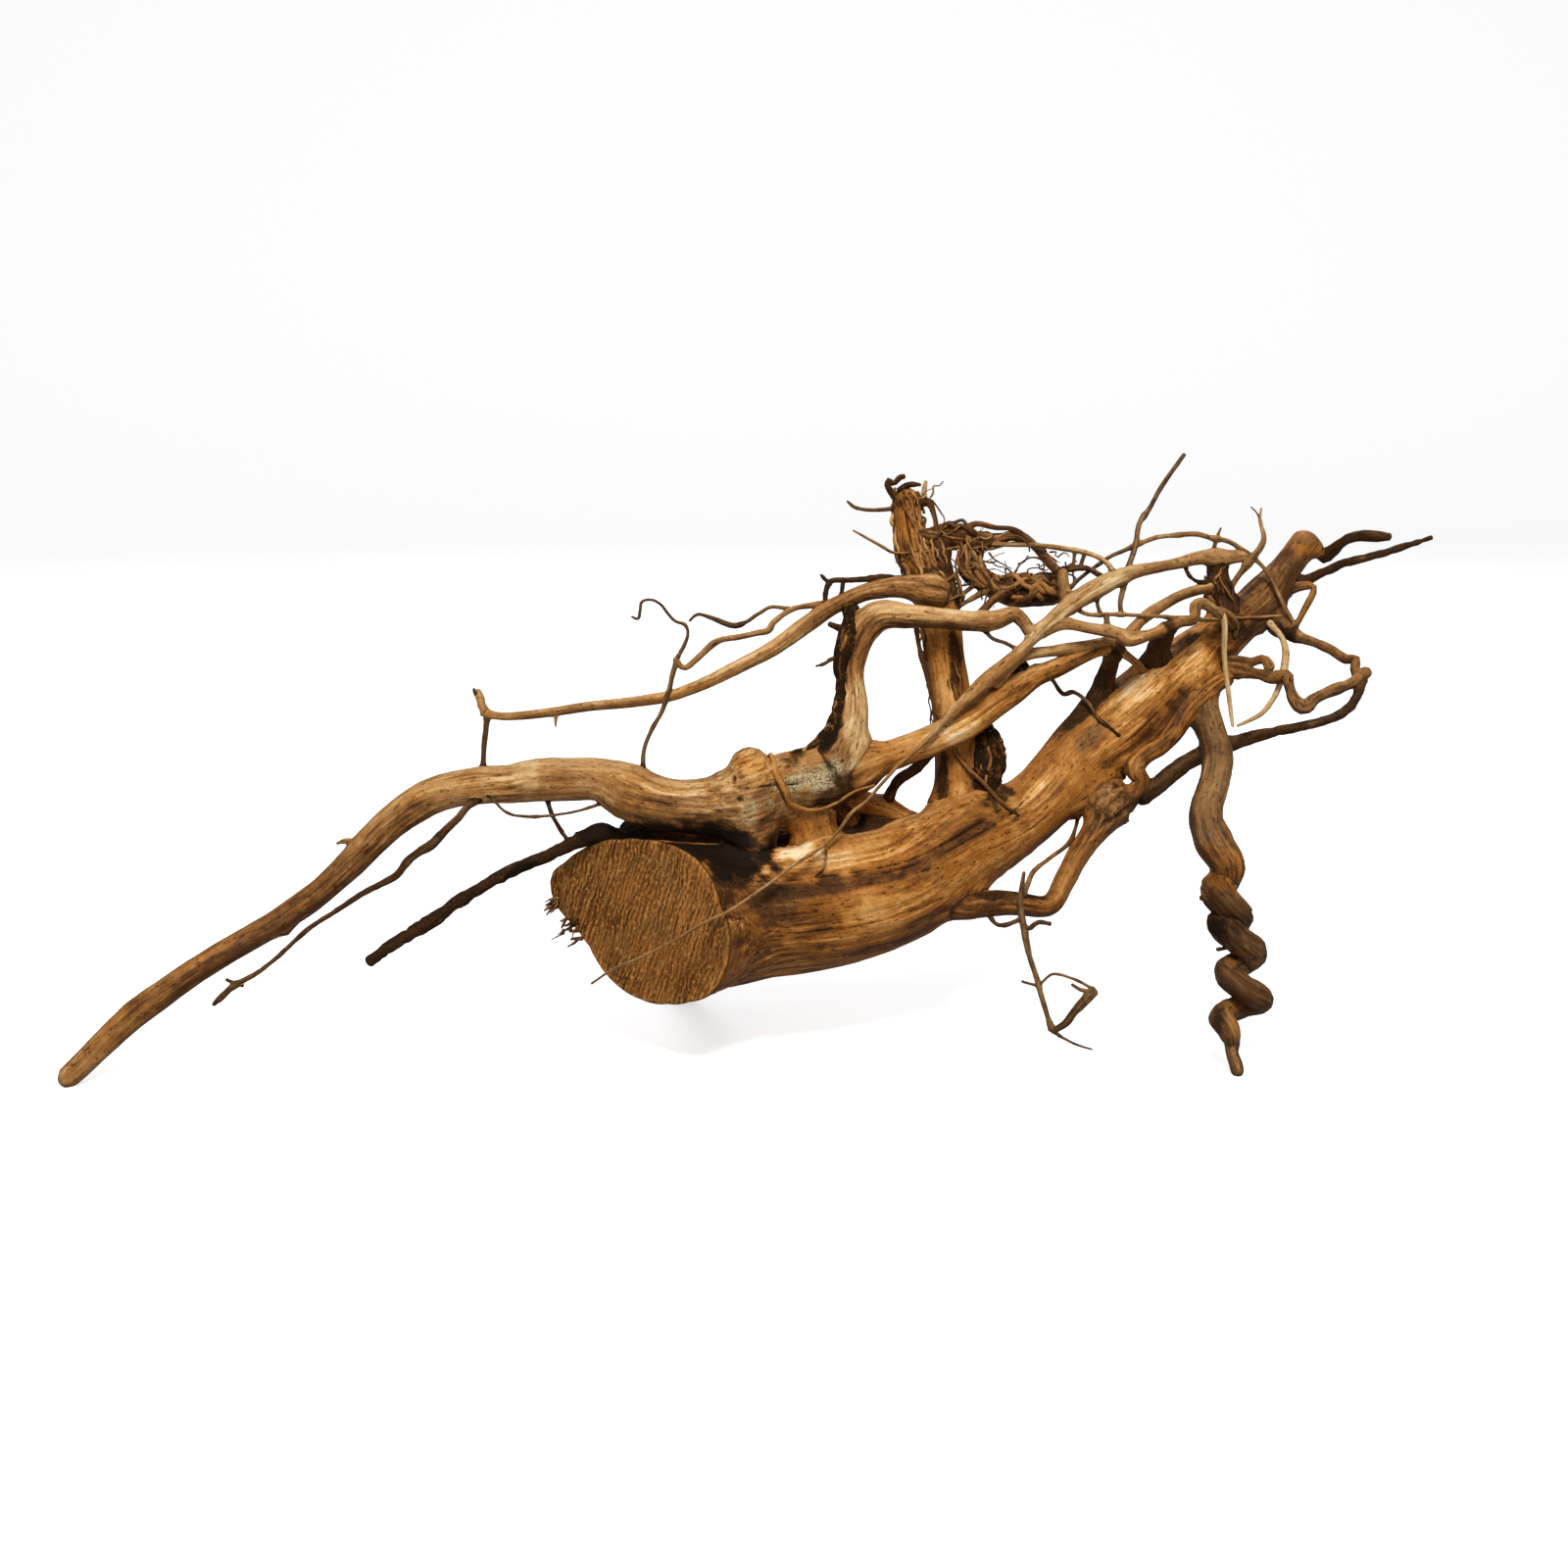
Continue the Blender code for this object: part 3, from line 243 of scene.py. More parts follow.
UPRIGHT_ONE = {
    "upright_one": ("tan", [
        (832, 806, -36, 18), (850, 785, -34, 18), (862, 762, -34, 17), (868, 740, -34, 14.5),
        (871, 720, -34, 12), (870, 700, -33, 10), (870, 682, -32, 9.8), (874, 663, -32, 10.4),
        (882, 641, -32, 12.5), (900, 628, -33, 11.5), (930, 629, -34, 9), (960, 631, -33, 8.2),
        (990, 634, -32, 8.2), (1015, 633, -30, 8.6), (1034, 627, -29, 7), (1044, 634, -28, 5.8),
        (1055, 645, -27, 5), (1086, 637, -24, 4.4), (1112, 641, -22, 4.2), (1140, 646, -20, 5),
        (1152, 653, -18, 5.6), (1175, 647, -8, 4.6), (1204, 635, 4, 4.5), (1218, 632, 10, 4.5),
        (1220, 619, 14, 5.2), (1228, 616, 18, 4.6), (1240, 624, 26, 3.8), (1250, 634, 42, 4),
        (1258, 642, 62, 4)]),
    "left_bark": ("bark", [
        (869, 618, -28, 4), (867, 640, -36, 4.4), (862, 656, -40, 4.4), (858, 674, -39, 3.8),
        (859, 700, -38, 3), (858, 722, -38, 3.6), (849, 747, -38, 4.6), (828, 768, -40, 4.4),
        (806, 776, -46, 3)]),
    "bark_twig": ("dark", [(866, 642, -38, 2.4), (856, 641, -40, 2.2), (845, 636, -42, 1.2)]),
    "bark_claw": ("dark", [
        (862, 666, -40, 1.6), (849, 672, -42, 1.3), (842, 677, -43, 1.2), (832, 680, -44, 0.6)]),
    "pale_fibre": ("ochre", [
        (786, 768, -62, 1.8), (791, 788, -68, 2.4), (800, 806, -70, 2.6), (808, 821, -64, 2.2),
        (830, 827, -58, 1.2), (850, 821, -54, 1.1), (872, 808, -50, 1.1), (893, 801, -52, 0.9)]),
}

DIAGONAL = {
    "diagonal_branch": ("honey", [
        (846, 798, -32, 18), (868, 788, -31, 15.5), (890, 778, -30, 13.5), (925, 765, -27, 12.5),
        (960, 751, -24, 12.5), (988, 736, -20, 13), (1012, 719, -16, 12.5), (1034, 705, -12, 11.5),
        (1056, 691, -8, 9), (1080, 681, -4, 7.6), (1108, 668, 0, 6.2), (1136, 658, 4, 5)]),
    "crevice_bark": ("bark", [
        (990, 722, -8, 6), (1008, 708, -6, 7), (1028, 692, -4, 7), (1050, 680, -4, 5)]),
    "upper_arm": ("tan", [
        (1012, 700, -24, 5), (1042, 671, -20, 4.8), (1075, 664, -12, 4.6), (1107, 659, -4, 4.2),
        (1134, 656, 2, 4.4), (1146, 666, 8, 3.6), (1162, 679, 26, 3.2), (1170, 690, 42, 3)]),
    "long_root": ("tan", [
        (1274, 566, 66, 5), (1258, 568, 60, 6), (1238, 568, 52, 6.4), (1220, 570, 44, 5.6),
        (1200, 575, 34, 4.8), (1180, 579, 24, 4.8), (1160, 583, 12, 5.2), (1140, 590, 0, 7),
        (1120, 600, -10, 8), (1100, 612, -18, 7.8), (1080, 626, -24, 6), (1060, 645, -28, 4.8),
        (1044, 662, -31, 4.6), (1024, 680, -33, 5.4), (1003, 697, -35, 6.2), (984, 715, -38, 4.4),
        (966, 731, -42, 2.8)]),
    "root_tail": ("straw", [
        (974, 723, -40, 3), (958, 742, -44, 2.2), (946, 756, -46, 1.8), (932, 768, -48, 1.6),
        (913, 784, -52, 1.5), (899, 801, -56, 1.4), (885, 817, -59, 1.4), (867, 831, -63, 1.4),
        (854, 850, -68, 1.4), (839, 864, -74, 1.4), (822, 875, -83, 1.3), (801, 889, -95, 1.3),
        (783, 903, -106, 1.3), (759, 920, -120, 1.3), (741, 931, -127, 1.3), (713, 945, -127, 1.2),
        (680, 964, -120, 1.2), (652, 978, -111, 1.1), (624, 990, -103, 1.1), (603, 1004, -96, 0.8)]),
    "tail_fibre": ("root", [
        (843, 863, -70, 1.1), (842, 880, -70, 0.9), (836, 891, -70, 0.9), (826, 897, -70, 0.6)]),
    "dark_root": ("dark", [
        (904, 820, 10, 4), (916, 797, 0, 4), (936, 782, -12, 4.2), (950, 764, -20, 4.4)]),
}

UPRIGHT_TWO = {
    "upright_two": ("honey", [
        (922, 498, 30, 11), (926, 525, 27, 11.5), (930, 550, 22, 11.8), (937, 575, 15, 12.5),
        (950, 605, 8, 14.5), (960, 640, 4, 16.5), (964, 670, 4, 15.4), (969, 700, 6, 15.6),
        (974, 740, 8, 16), (975, 790, 8, 16.5), (976, 850, 8, 18)]),
    "crown_hook": ("dark", [
        (914, 508, 22, 2.4), (906, 497, 20, 2), (907, 490, 20, 1.8), (912, 493, 20, 1.6),
        (918, 487, 20, 1.8), (924, 486, 20, 1.2)]),
    "crown_rim": ("brown", [
        (916, 502, 22, 2.4), (924, 496, 21, 2.2), (934, 494, 22, 1.8), (940, 495, 24, 1.2)]),
    "crown_prong": ("pale", [(945, 490, 24, 1.5), (943, 500, 24, 2.2), (942, 512, 24, 3)]),
    "crown_loop": ("brown", [
        (934, 515, 26, 3), (947, 512, 23, 3.2), (953, 526, 20, 2), (955, 538, 18, 2),
        (952, 549, 17, 3)]),
    "crown_twig": ("twig", [
        (864, 511, 24, 1), (873, 518, 25, 1.5), (893, 520, 26, 1.7), (920, 519, 27, 2)]),
    "lower_twig": ("root", [
        (870, 541, 6, 0.8), (885, 549, 6, 1.2), (901, 558, 6, 1.2), (914, 564, 7, 1.2),
        (942, 563, 6, 1.2), (962, 561, 10, 1.2), (984, 558, 18, 1.4)]),
    "clinging_root": ("brown", [
        (934, 632, -26, 1.8), (938, 660, -18, 1.8), (945, 688, -12, 1.8), (953, 718, -9, 1.8),
        (962, 742, -9, 1.8), (980, 775, -9, 1.7), (1002, 798, -10, 1.7), (1025, 822, -9, 1.6),
        (1045, 836, -2, 1.5), (1060, 846, 5, 1.2)]),
}

TANGLE = {
    "tangle_beam": ("brown", [
        (922, 549, 18, 4), (942, 547, 16, 4), (962, 550, 16, 4.4), (986, 553, 20, 4.4),
        (1004, 554, 24, 4), (1030, 548, 28, 3.2), (1046, 551, 28, 3.4)]),
    "tangle_core": ("dark", [
        (986, 543, 18, 3), (988, 557, 20, 5), (990, 573, 22, 5.5), (998, 588, 24, 5),
        (1012, 596, 26, 5), (1028, 600, 28, 7), (1048, 603, 29, 9), (1068, 602, 26, 8.5),
        (1086, 600, 10, 5)]),
    "tangle_left": ("dark", [
        (956, 550, 16, 5), (961, 572, 14, 7), (966, 596, 8, 7), (970, 620, 2, 7)]),
    "tangle_top": ("brown", [
        (950, 548, 16, 3.6), (966, 543, 16, 5), (986, 544, 19, 5.4), (1002, 550, 22, 5.4),
        (1014, 548, 24, 3)]),
    "pale_stub": ("root", [(1084, 581, 2, 4.6), (1086, 598, -6, 5), (1090, 620, -18, 5)]),
    "top_arch": ("brown", [
        (952, 546, 12, 2), (966, 536, 14, 2.6), (980, 539, 17, 2.2), (997, 534, 20, 2.1),
        (1015, 538, 22, 2), (1033, 540, 24, 2.2), (1046, 549, 26, 3), (1058, 560, 24, 3.2),
        (1068, 572, 18, 3.4), (1080, 584, 8, 3.8)]),
    "pale_arch": ("root", [
        (1010, 555, 24, 2), (1040, 556, 18, 1.7), (1060, 557, 14, 1.8), (1086, 560, 8, 1.9),
        (1108, 564, 2, 2), (1122, 569, -2, 2.1), (1132, 577, -4, 2.2), (1137, 588, -3, 2.6)]),
    "arch_posts": ("twig", [(1097, 561, 5, 1.4), (1095, 581, 3, 1.4)]),
    "arch_post_right": ("twig", [(1107, 563, 3, 1.4), (1101, 582, 2, 1.4)]),
    "dark_rail": ("dark", [
        (1080, 582, 6, 2.2), (1096, 580, 3, 1.9), (1110, 580, 0, 1.8), (1119, 585, -2, 1.6),
        (1127, 590, -5, 1.6), (1136, 589, -3, 2)]),
    "tangle_strut": ("twig", [(968, 613, 2, 2), (984, 605, 12, 1.7), (1000, 592, 24, 2.4)]),
    "lower_strut": ("twig", [(972, 622, -2, 2), (994, 610, 10, 1.9), (1014, 598, 25, 2.4)]),
    "fork_strut": ("brown", [(1000, 626, -28, 3), (1014, 612, -4, 3), (1030, 604, 24, 4)]),
    "thin_arch": ("twig", [
        (1033, 590, 24, 1.2), (1041, 576, 24, 0.8), (1052, 569, 23, 0.8), (1066, 571, 20, 1.2)]),
    "shelf_twig": ("twig", [
        (1000, 638, -30, 2), (1012, 651, -28, 1.7), (1026, 656, -28, 1.7), (1041, 664, -30, 2)]),
    "kinked_twig": ("twig", [
        (1040, 690, -12, 2), (1063, 684, -6, 1.8), (1073, 693, 6, 1.7), (1084, 708, 26, 1.7),
        (1096, 706, 30, 1.7), (1110, 716, 26, 1.7), (1121, 733, 17, 1.6), (1143, 752, 14, 1.4)]),
}

UPPER_RIGHT = {
    "tall_twig": ("twig", [
        (1209, 463, 70, 1.3), (1198, 478, 64, 1.8), (1185, 497, 56, 2), (1173, 519, 46, 2.1),
        (1163, 534, 38, 2.1), (1159, 554, 30, 2.4), (1153, 575, 14, 2.3), (1148, 594, 4, 2.3),
        (1143, 612, -4, 2.2), (1144, 628, -8, 2.2)]),
    "twig_arm": ("twig", [
        (1162, 554, 32, 2.2), (1148, 561, 24, 1.8), (1133, 568, 16, 1.6), (1118, 578, 8, 1.6),
        (1100, 592, 2, 1.6), (1090, 602, -4, 1.8)]),
    "long_arch": ("root", [
        (1156, 558, 29, 2), (1178, 549, 36, 2), (1200, 546, 42, 2), (1221, 545, 48, 2.2),
        (1236, 549, 52, 2), (1252, 552, 56, 2), (1266, 560, 60, 1.8), (1281, 571, 60, 1.8),
        (1292, 583, 60, 1.7), (1304, 605, 58, 1.6), (1311, 619, 58, 1.6), (1320, 637, 66, 1.8),
        (1316, 646, 72, 1.8)]),
    "arch_tick": ("twig", [(1246, 538, 54, 0.8), (1242, 550, 54, 1.7), (1237, 566, 54, 2)]),
    "forked_twig": ("root", [
        (1287, 518, 58, 0.6), (1286, 531, 58, 1.4), (1290, 547, 58, 2), (1287, 558, 58, 2.8),
        (1276, 572, 60, 3), (1262, 590, 62, 2.4), (1253, 606, 64, 2.8)]),
    "twig_point": ("twig", [(1276, 517, 58, 0.5), (1283, 524, 58, 0.7), (1287, 534, 58, 1)]),
    "rising_branch": ("tan", [
        (1240, 598, 62, 5), (1222, 602, 52, 4.8), (1204, 608, 38, 4.6), (1186, 618, 22, 4.6),
        (1168, 630, 6, 4.6), (1150, 648, -12, 4.8)]),
    "rail": ("root", [
        (1096, 620, -16, 2), (1112, 627, -13, 1.8), (1143, 627, -8, 1.7), (1184, 629, -2, 1.7),
        (1218, 632, 10, 1.8), (1244, 632, 32, 1.7), (1262, 631, 52, 1.4), (1286, 630, 60, 1.4),
        (1310, 628, 66, 1.6)]),
    "rail_post": ("twig", [(1121, 603, -8, 2), (1120, 616, -10, 1.6), (1123, 627, -12, 1.8)]),
    "rail_leg": ("twig", [(1129, 627, -11, 2), (1130, 643, -20, 3)]),
    "near_strut": ("dark", [
        (1138, 662, 4, 6.5), (1131, 682, 20, 7), (1120, 712, 40, 9), (1116, 730, 44, 10)]),
    "far_strut": ("dark", [
        (1192, 640, -2, 6), (1184, 658, 24, 9), (1176, 684, 52, 10)]),
    "mass_twig": ("dark", [
        (1210, 574, 38, 1.8), (1212, 585, 42, 1.4), (1221, 593, 48, 1.5), (1236, 595, 58, 2)]),
}

RIGHT_ROOTS = {
    "worm_root": ("dark", [
        (1340, 556, 98, 4), (1350, 570, 94, 4), (1360, 562, 88, 4.2), (1372, 552, 80, 4),
        (1388, 547, 72, 4.2), (1405, 547, 64, 4), (1420, 548, 58, 2.4)]),
    "straight_root": ("dark", [
        (1300, 594, 86, 5), (1335, 590, 78, 3.6), (1352, 583, 70, 3.5), (1374, 574, 60, 3.2),
        (1403, 567, 48, 2.9), (1435, 557, 36, 2.3), (1462, 548, 26, 1.2)]),
    "bent_root": ("brown", [
        (1304, 604, 82, 5), (1336, 598, 76, 3.2), (1340, 604, 74, 2.8), (1333, 618, 72, 2.7),
        (1324, 634, 72, 2.8), (1314, 650, 72, 4)]),
    "end_strand": ("brown", [
        (1290, 618, 76, 9), (1306, 634, 74, 9), (1316, 648, 70, 7)]),
    "loop_upper": ("knobby", [
        (1296, 636, 74, 8), (1322, 649, 68, 4.6), (1342, 656, 60, 3.8), (1358, 663, 52, 4.2),
        (1372, 672, 44, 4.2), (1383, 673, 38, 4), (1382, 684, 34, 3.6), (1388, 691, 29, 4)]),
    "loop_knob": ("knobby", [(1398, 683, 31, 3), (1394, 686, 30, 4), (1386, 691, 28, 3.6)]),
    "loop_lower": ("knobby", [
        (1390, 690, 28, 3.8), (1375, 699, 22, 4.2), (1355, 706, 16, 4.2), (1341, 713, 10, 4.4),
        (1331, 721, 6, 6.2), (1321, 714, 8, 5), (1316, 702, 12, 4), (1312, 690, 16, 5.4),
        (1298, 692, 22, 5.2), (1284, 688, 28, 4.6), (1262, 684, 44, 5), (1232, 680, 64, 6)]),
    "twin_strand": ("knobby", [
        (1236, 676, 62, 4), (1260, 673, 46, 3.4), (1277, 675, 36, 3.2), (1290, 673, 30, 3.6),
        (1298, 684, 24, 3.8)]),
    "pale_rootlet": ("pale", [
        (1242, 622, 30, 3), (1249, 636, 34, 2.6), (1249, 665, 38, 2.3), (1252, 694, 38, 2.2),
        (1255, 720, 34, 2), (1258, 742, 28, 1.2)]),
    "curled_rootlet": ("pale", [
        (1294, 634, 66, 3), (1307, 649, 54, 2.6), (1312, 664, 44, 2.7), (1311, 680, 34, 2.8),
        (1306, 698, 28, 2.5), (1299, 713, 26, 2.3), (1286, 729, 20, 2.1), (1262, 741, 14, 1.2)]),
    "short_rootlet": ("root", [
        (1244, 620, 32, 2), (1258, 630, 38, 1.8), (1262, 643, 50, 1.8), (1250, 664, 66, 2)]),
    "dark_loop": ("dark", [
        (1391, 692, 27, 3.6), (1384, 712, 20, 3.4), (1371, 727, 16, 3.6), (1350, 736, 16, 3.8),
        (1325, 742, 20, 3.8), (1303, 746, 26, 4), (1262, 757, 38, 5), (1225, 771, 44, 6),
        (1198, 788, 40, 7.6), (1182, 802, 34, 7.6), (1160, 816, 30, 8)]),
}

LOWER_ROOTS = {
    "side_root": ("red", [
        (1256, 690, 50, 6), (1238, 699, 44, 6.6), (1222, 713, 38, 7), (1210, 728, 34, 7.4),
        (1200, 746, 30, 7.4), (1186, 762, 28, 6.2), (1170, 772, 25, 6.4), (1159, 784, 24, 7.4),
        (1164, 797, 26, 6.6), (1156, 810, 28, 7.4), (1143, 815, 29, 14), (1132, 824, 28, 18.5),
        (1122, 841, 24, 12.5), (1109, 859, 18, 9.6), (1095, 881, 10, 9.2), (1084, 903, 2, 9),
        (1074, 921, -6, 9), (1060, 925, -10, 8.8), (1040, 922, -14, 9.8), (1020, 921, -17, 10.2),
        (1000, 925, -20, 9), (982, 927, -22, 8.6), (955, 918, -18, 9)]),
    "thin_link": ("twig", [
        (1101, 820, 38, 2.2), (1098, 842, 28, 1.8), (1090, 861, 16, 1.8), (1070, 876, 4, 1.8),
        (1055, 889, -6, 1.7), (1049, 902, -14, 1.6), (1044, 916, -22, 2)]),
    "fallen_twig": ("twig", [
        (1045, 889, -24, 1.4), (1043, 905, -25, 2.2), (1041, 924, -26, 2.4), (1045, 950, -30, 2.3),
        (1051, 977, -36, 2.2), (1060, 1005, -42, 2.3), (1067, 1030, -48, 2.1),
        (1074, 1053, -54, 2)]),
    "twig_elbow": ("twig", [
        (1072, 1053, -54, 2.2), (1087, 1045, -56, 3.2), (1096, 1034, -58, 3.2),
        (1108, 1021, -60, 3.2), (1118, 1009, -62, 2.8)]),
    "twig_loop": ("twig", [
        (1059, 1007, -42, 1.2), (1069, 997, -46, 1.1), (1078, 994, -50, 1.1),
        (1098, 1000, -56, 1.2), (1118, 1010, -62, 1.6)]),
    "twig_spur": ("twig", [(1093, 1004, -60, 1.3), (1102, 1010, -61, 1.6), (1114, 1013, -62, 1.8)]),
    "twig_tip": ("twig", [(1074, 1052, -54, 1.4), (1092, 1063, -56, 1.1), (1115, 1071, -58, 0.8)]),
    "twig_side": ("twig", [(1042, 1001, -42, 1.1), (1061, 1006, -42, 1.3)]),
    "left_hook": ("dark", [
        (1008, 930, -22, 1.8), (1015, 942, -26, 1.4), (1026, 944, -28, 1.4), (1042, 938, -28, 1.4)]),
    "right_hook": ("dark", [
        (1043, 943, -29, 1.4), (1050, 947, -31, 1.4), (1060, 941, -33, 1.4), (1073, 943, -34, 1)]),
}

CORKSCREW = {
    "corkscrew": ("coil", [
        (1222, 694, 58, 14), (1226, 716, 48, 13), (1234, 742, 38, 12), (1242, 770, 28, 12),
        (1238, 800, 16, 12.5), (1231, 830, 4, 13.5), (1237, 856, -6, 15.5), (1252, 882, -10, 14.5),
        (1248, 899, -4, 13), (1242, 910, -17, 12.8), (1252, 923, -31, 12.8), (1262, 934, -24, 12),
        (1254, 939, -13, 11.6), (1247, 943, -26, 12), (1262, 957, -40, 12.4),
        (1278, 971, -34, 11.8), (1268, 982, -25, 10.6), (1251, 992, -40, 10.6),
        (1268, 1009, -56, 11.6), (1286, 1020, -48, 11), (1268, 1027, -38, 9.6),
        (1247, 1037, -52, 10.4), (1254, 1051, -63, 9.6), (1257, 1062, -58, 7),
        (1257, 1074, -60, 5), (1261, 1087, -66, 5.6), (1264, 1099, -71, 4.4)]),
    "coil_nub": ("dark", [(1236, 914, -22, 2), (1224, 917, -22, 1.8)]),
    "coil_thorn": ("dark", [(1268, 968, -36, 1.6), (1254, 967, -36, 1.4), (1241, 969, -36, 1)]),
}

LIMB_GROUPS = (
    BUTT, TRUNK_SIDE, LEFT_LIMB, LEFT_TWIGS, LONG_BRANCH, UPRIGHT_ONE, DIAGONAL, UPRIGHT_TWO, TANGLE,
    UPPER_RIGHT, RIGHT_ROOTS, LOWER_ROOTS, CORKSCREW)

# Torn strands: limb, how many, the stretch of its length, radii in millimetres, twist in radians and
# how far in millimetres a strand may stand off the limb.
STRANDS = (
    ("tangle_core", 46, (0.0, 1.0), (1.0, 2.8), 2.4, 5.0),
    ("tangle_left", 14, (0.0, 1.0), (0.8, 1.8), 1.6, 5.0),
    ("tangle_top", 20, (0.0, 1.0), (0.8, 1.8), 2.0, 5.0),
    ("tangle_beam", 13, (0.0, 1.0), (0.8, 1.6), 2.0, 3.0),
    ("dark_mass", 14, (0.0, 1.0), (1.0, 2.2), 1.2, 3.0),
    ("shadow_root", 12, (0.0, 0.9), (1.2, 2.6), 0.8, 1.0),
    ("upright_two", 35, (0.0, 0.34), (0.8, 2.0), 0.3, 1.0),
    ("upright_two", 10, (0.30, 0.75), (0.6, 1.2), 0.2, 1.0),
    ("left_bark", 12, (0.0, 1.0), (0.8, 1.8), 0.8, 1.0),
    ("charred_bark", 12, (0.0, 1.0), (1.0, 2.2), 0.8, 1.0),
    ("crevice_bark", 10, (0.0, 1.0), (0.8, 1.6), 0.8, 1.0),
)

# Loose fibres and splinters: boxes in the picture where they start, each with a depth and its spread,
# then lengths and radii in millimetres, how strongly they bend, their look and the way that they lean.
Bundle = namedtuple("Bundle", "boxes length radius bend look towards")
FIBRES = Bundle((
    (958, 538, 1012, 600, 18, 14), (985, 560, 1010, 605, 22, 12), (1000, 575, 1095, 615, 24, 14),
    (960, 545, 1000, 575, 16, 12), (1050, 560, 1090, 600, 20, 12), (930, 505, 952, 575, 14, 6)),
    (14.0, 40.0), (0.5, 1.1), 0.55, "fibre", None)
SPLINTERS = Bundle(
    ((566, 914, 572, 926, 2, 5), (576, 934, 600, 958, -10, 6)),
    (6.0, 17.0), (0.9, 2.2), 0.14, "splinter", (-0.9, 0.75, 0.1))

# A host's surface takes in the bumps and ridges named after it, and they get no surface of their own.
HOSTS = {
    "trunk": ("butt_lobe", "butt_knob", "ridge_root", "side_flute", "end_burl"),
    "left_limb": ("knob_top", "knob_bottom", "end_bump"),
}
HIDDEN = {member for members in HOSTS.values() for member in members}

# How far a host's surface may lie from its course, and how softly its members blend in, in millimetres.
HOST_REACH = {"trunk": 118.0, "left_limb": 46.0}
HOST_BLEND = {"trunk": 10.0, "left_limb": 7.0}

# Cracks: limb, width and depth in millimetres, and picture points along the crack. Each crack is sunk,
# and darkened with painted shade.
CRACKS = (
    ("left_limb", 1.6, 2.4, ((747, 785), (751, 796), (755, 810), (754, 822), (758, 842), (762, 855))),
    ("left_limb", 1.8, 2.6, ((750, 788), (755, 800), (766, 804), (784, 801), (804, 801), (822, 798))),
    ("upright_one", 1.6, 2.2, ((800, 801), (820, 798), (842, 793), (864, 787))),
    ("diagonal_branch", 1.4, 1.8, ((838, 795), (852, 791), (868, 786))),
    ("left_limb", 1.1, 1.3, ((628, 818), (650, 815), (668, 817), (682, 821))),
    ("left_limb", 0.9, 1.0, ((640, 823), (655, 825), (668, 829))),
    ("left_limb", 1.0, 1.0, ((384, 862), (392, 858), (402, 862), (412, 860))),
    ("trunk", 1.5, 2.1, ((800, 897), (850, 892), (900, 884), (940, 872), (985, 848), (1020, 826))),
    ("trunk", 1.2, 1.6, ((905, 890), (950, 876), (990, 856), (1026, 834), (1050, 812))),
    ("trunk", 1.1, 1.3, ((935, 892), (975, 874), (1015, 850), (1040, 832))),
    ("trunk", 1.1, 1.1, ((1010, 868), (1046, 850), (1070, 832))),
    ("trunk", 1.1, 1.2, ((752, 938), (800, 934), (850, 928), (905, 918))),
    ("trunk", 1.0, 1.0, ((830, 950), (880, 944), (930, 930), (960, 918))),
    ("upright_two", 1.1, 1.6, ((932, 505), (936, 530), (940, 560))),
    ("upright_two", 1.0, 1.4, ((922, 510), (926, 535), (932, 566))),
    ("upright_two", 1.0, 1.1, ((963, 660), (968, 700), (974, 740))),
    ("upright_one", 0.9, 1.0, ((872, 700), (873, 730), (868, 760), (858, 778))),
    ("upright_one", 0.9, 1.0, ((880, 706), (880, 738), (874, 766))),
)

# Ripples across the grain: limb, the middle's x and y, half length and half width in pixels, turn in
# degrees of the long side, wavelength in millimetres along it and height in millimetres. Their valleys
# are darkened with painted shade.
RIPPLES = (
    ("trunk", 1186, 738, 48, 18, -44, 3.4, 0.45),
    ("trunk", 1215, 700, 30, 16, -50, 3.2, 0.40),
    ("trunk", 779, 897, 12, 10, 0, 3.6, 0.6),
    ("side_root", 1133, 822, 28, 26, 50, 9.0, 3.6),
    ("side_root", 1160, 786, 14, 14, 70, 6.0, 1.4),
    ("corkscrew", 1262, 960, 30, 90, 90, 7.0, 0.35),
)
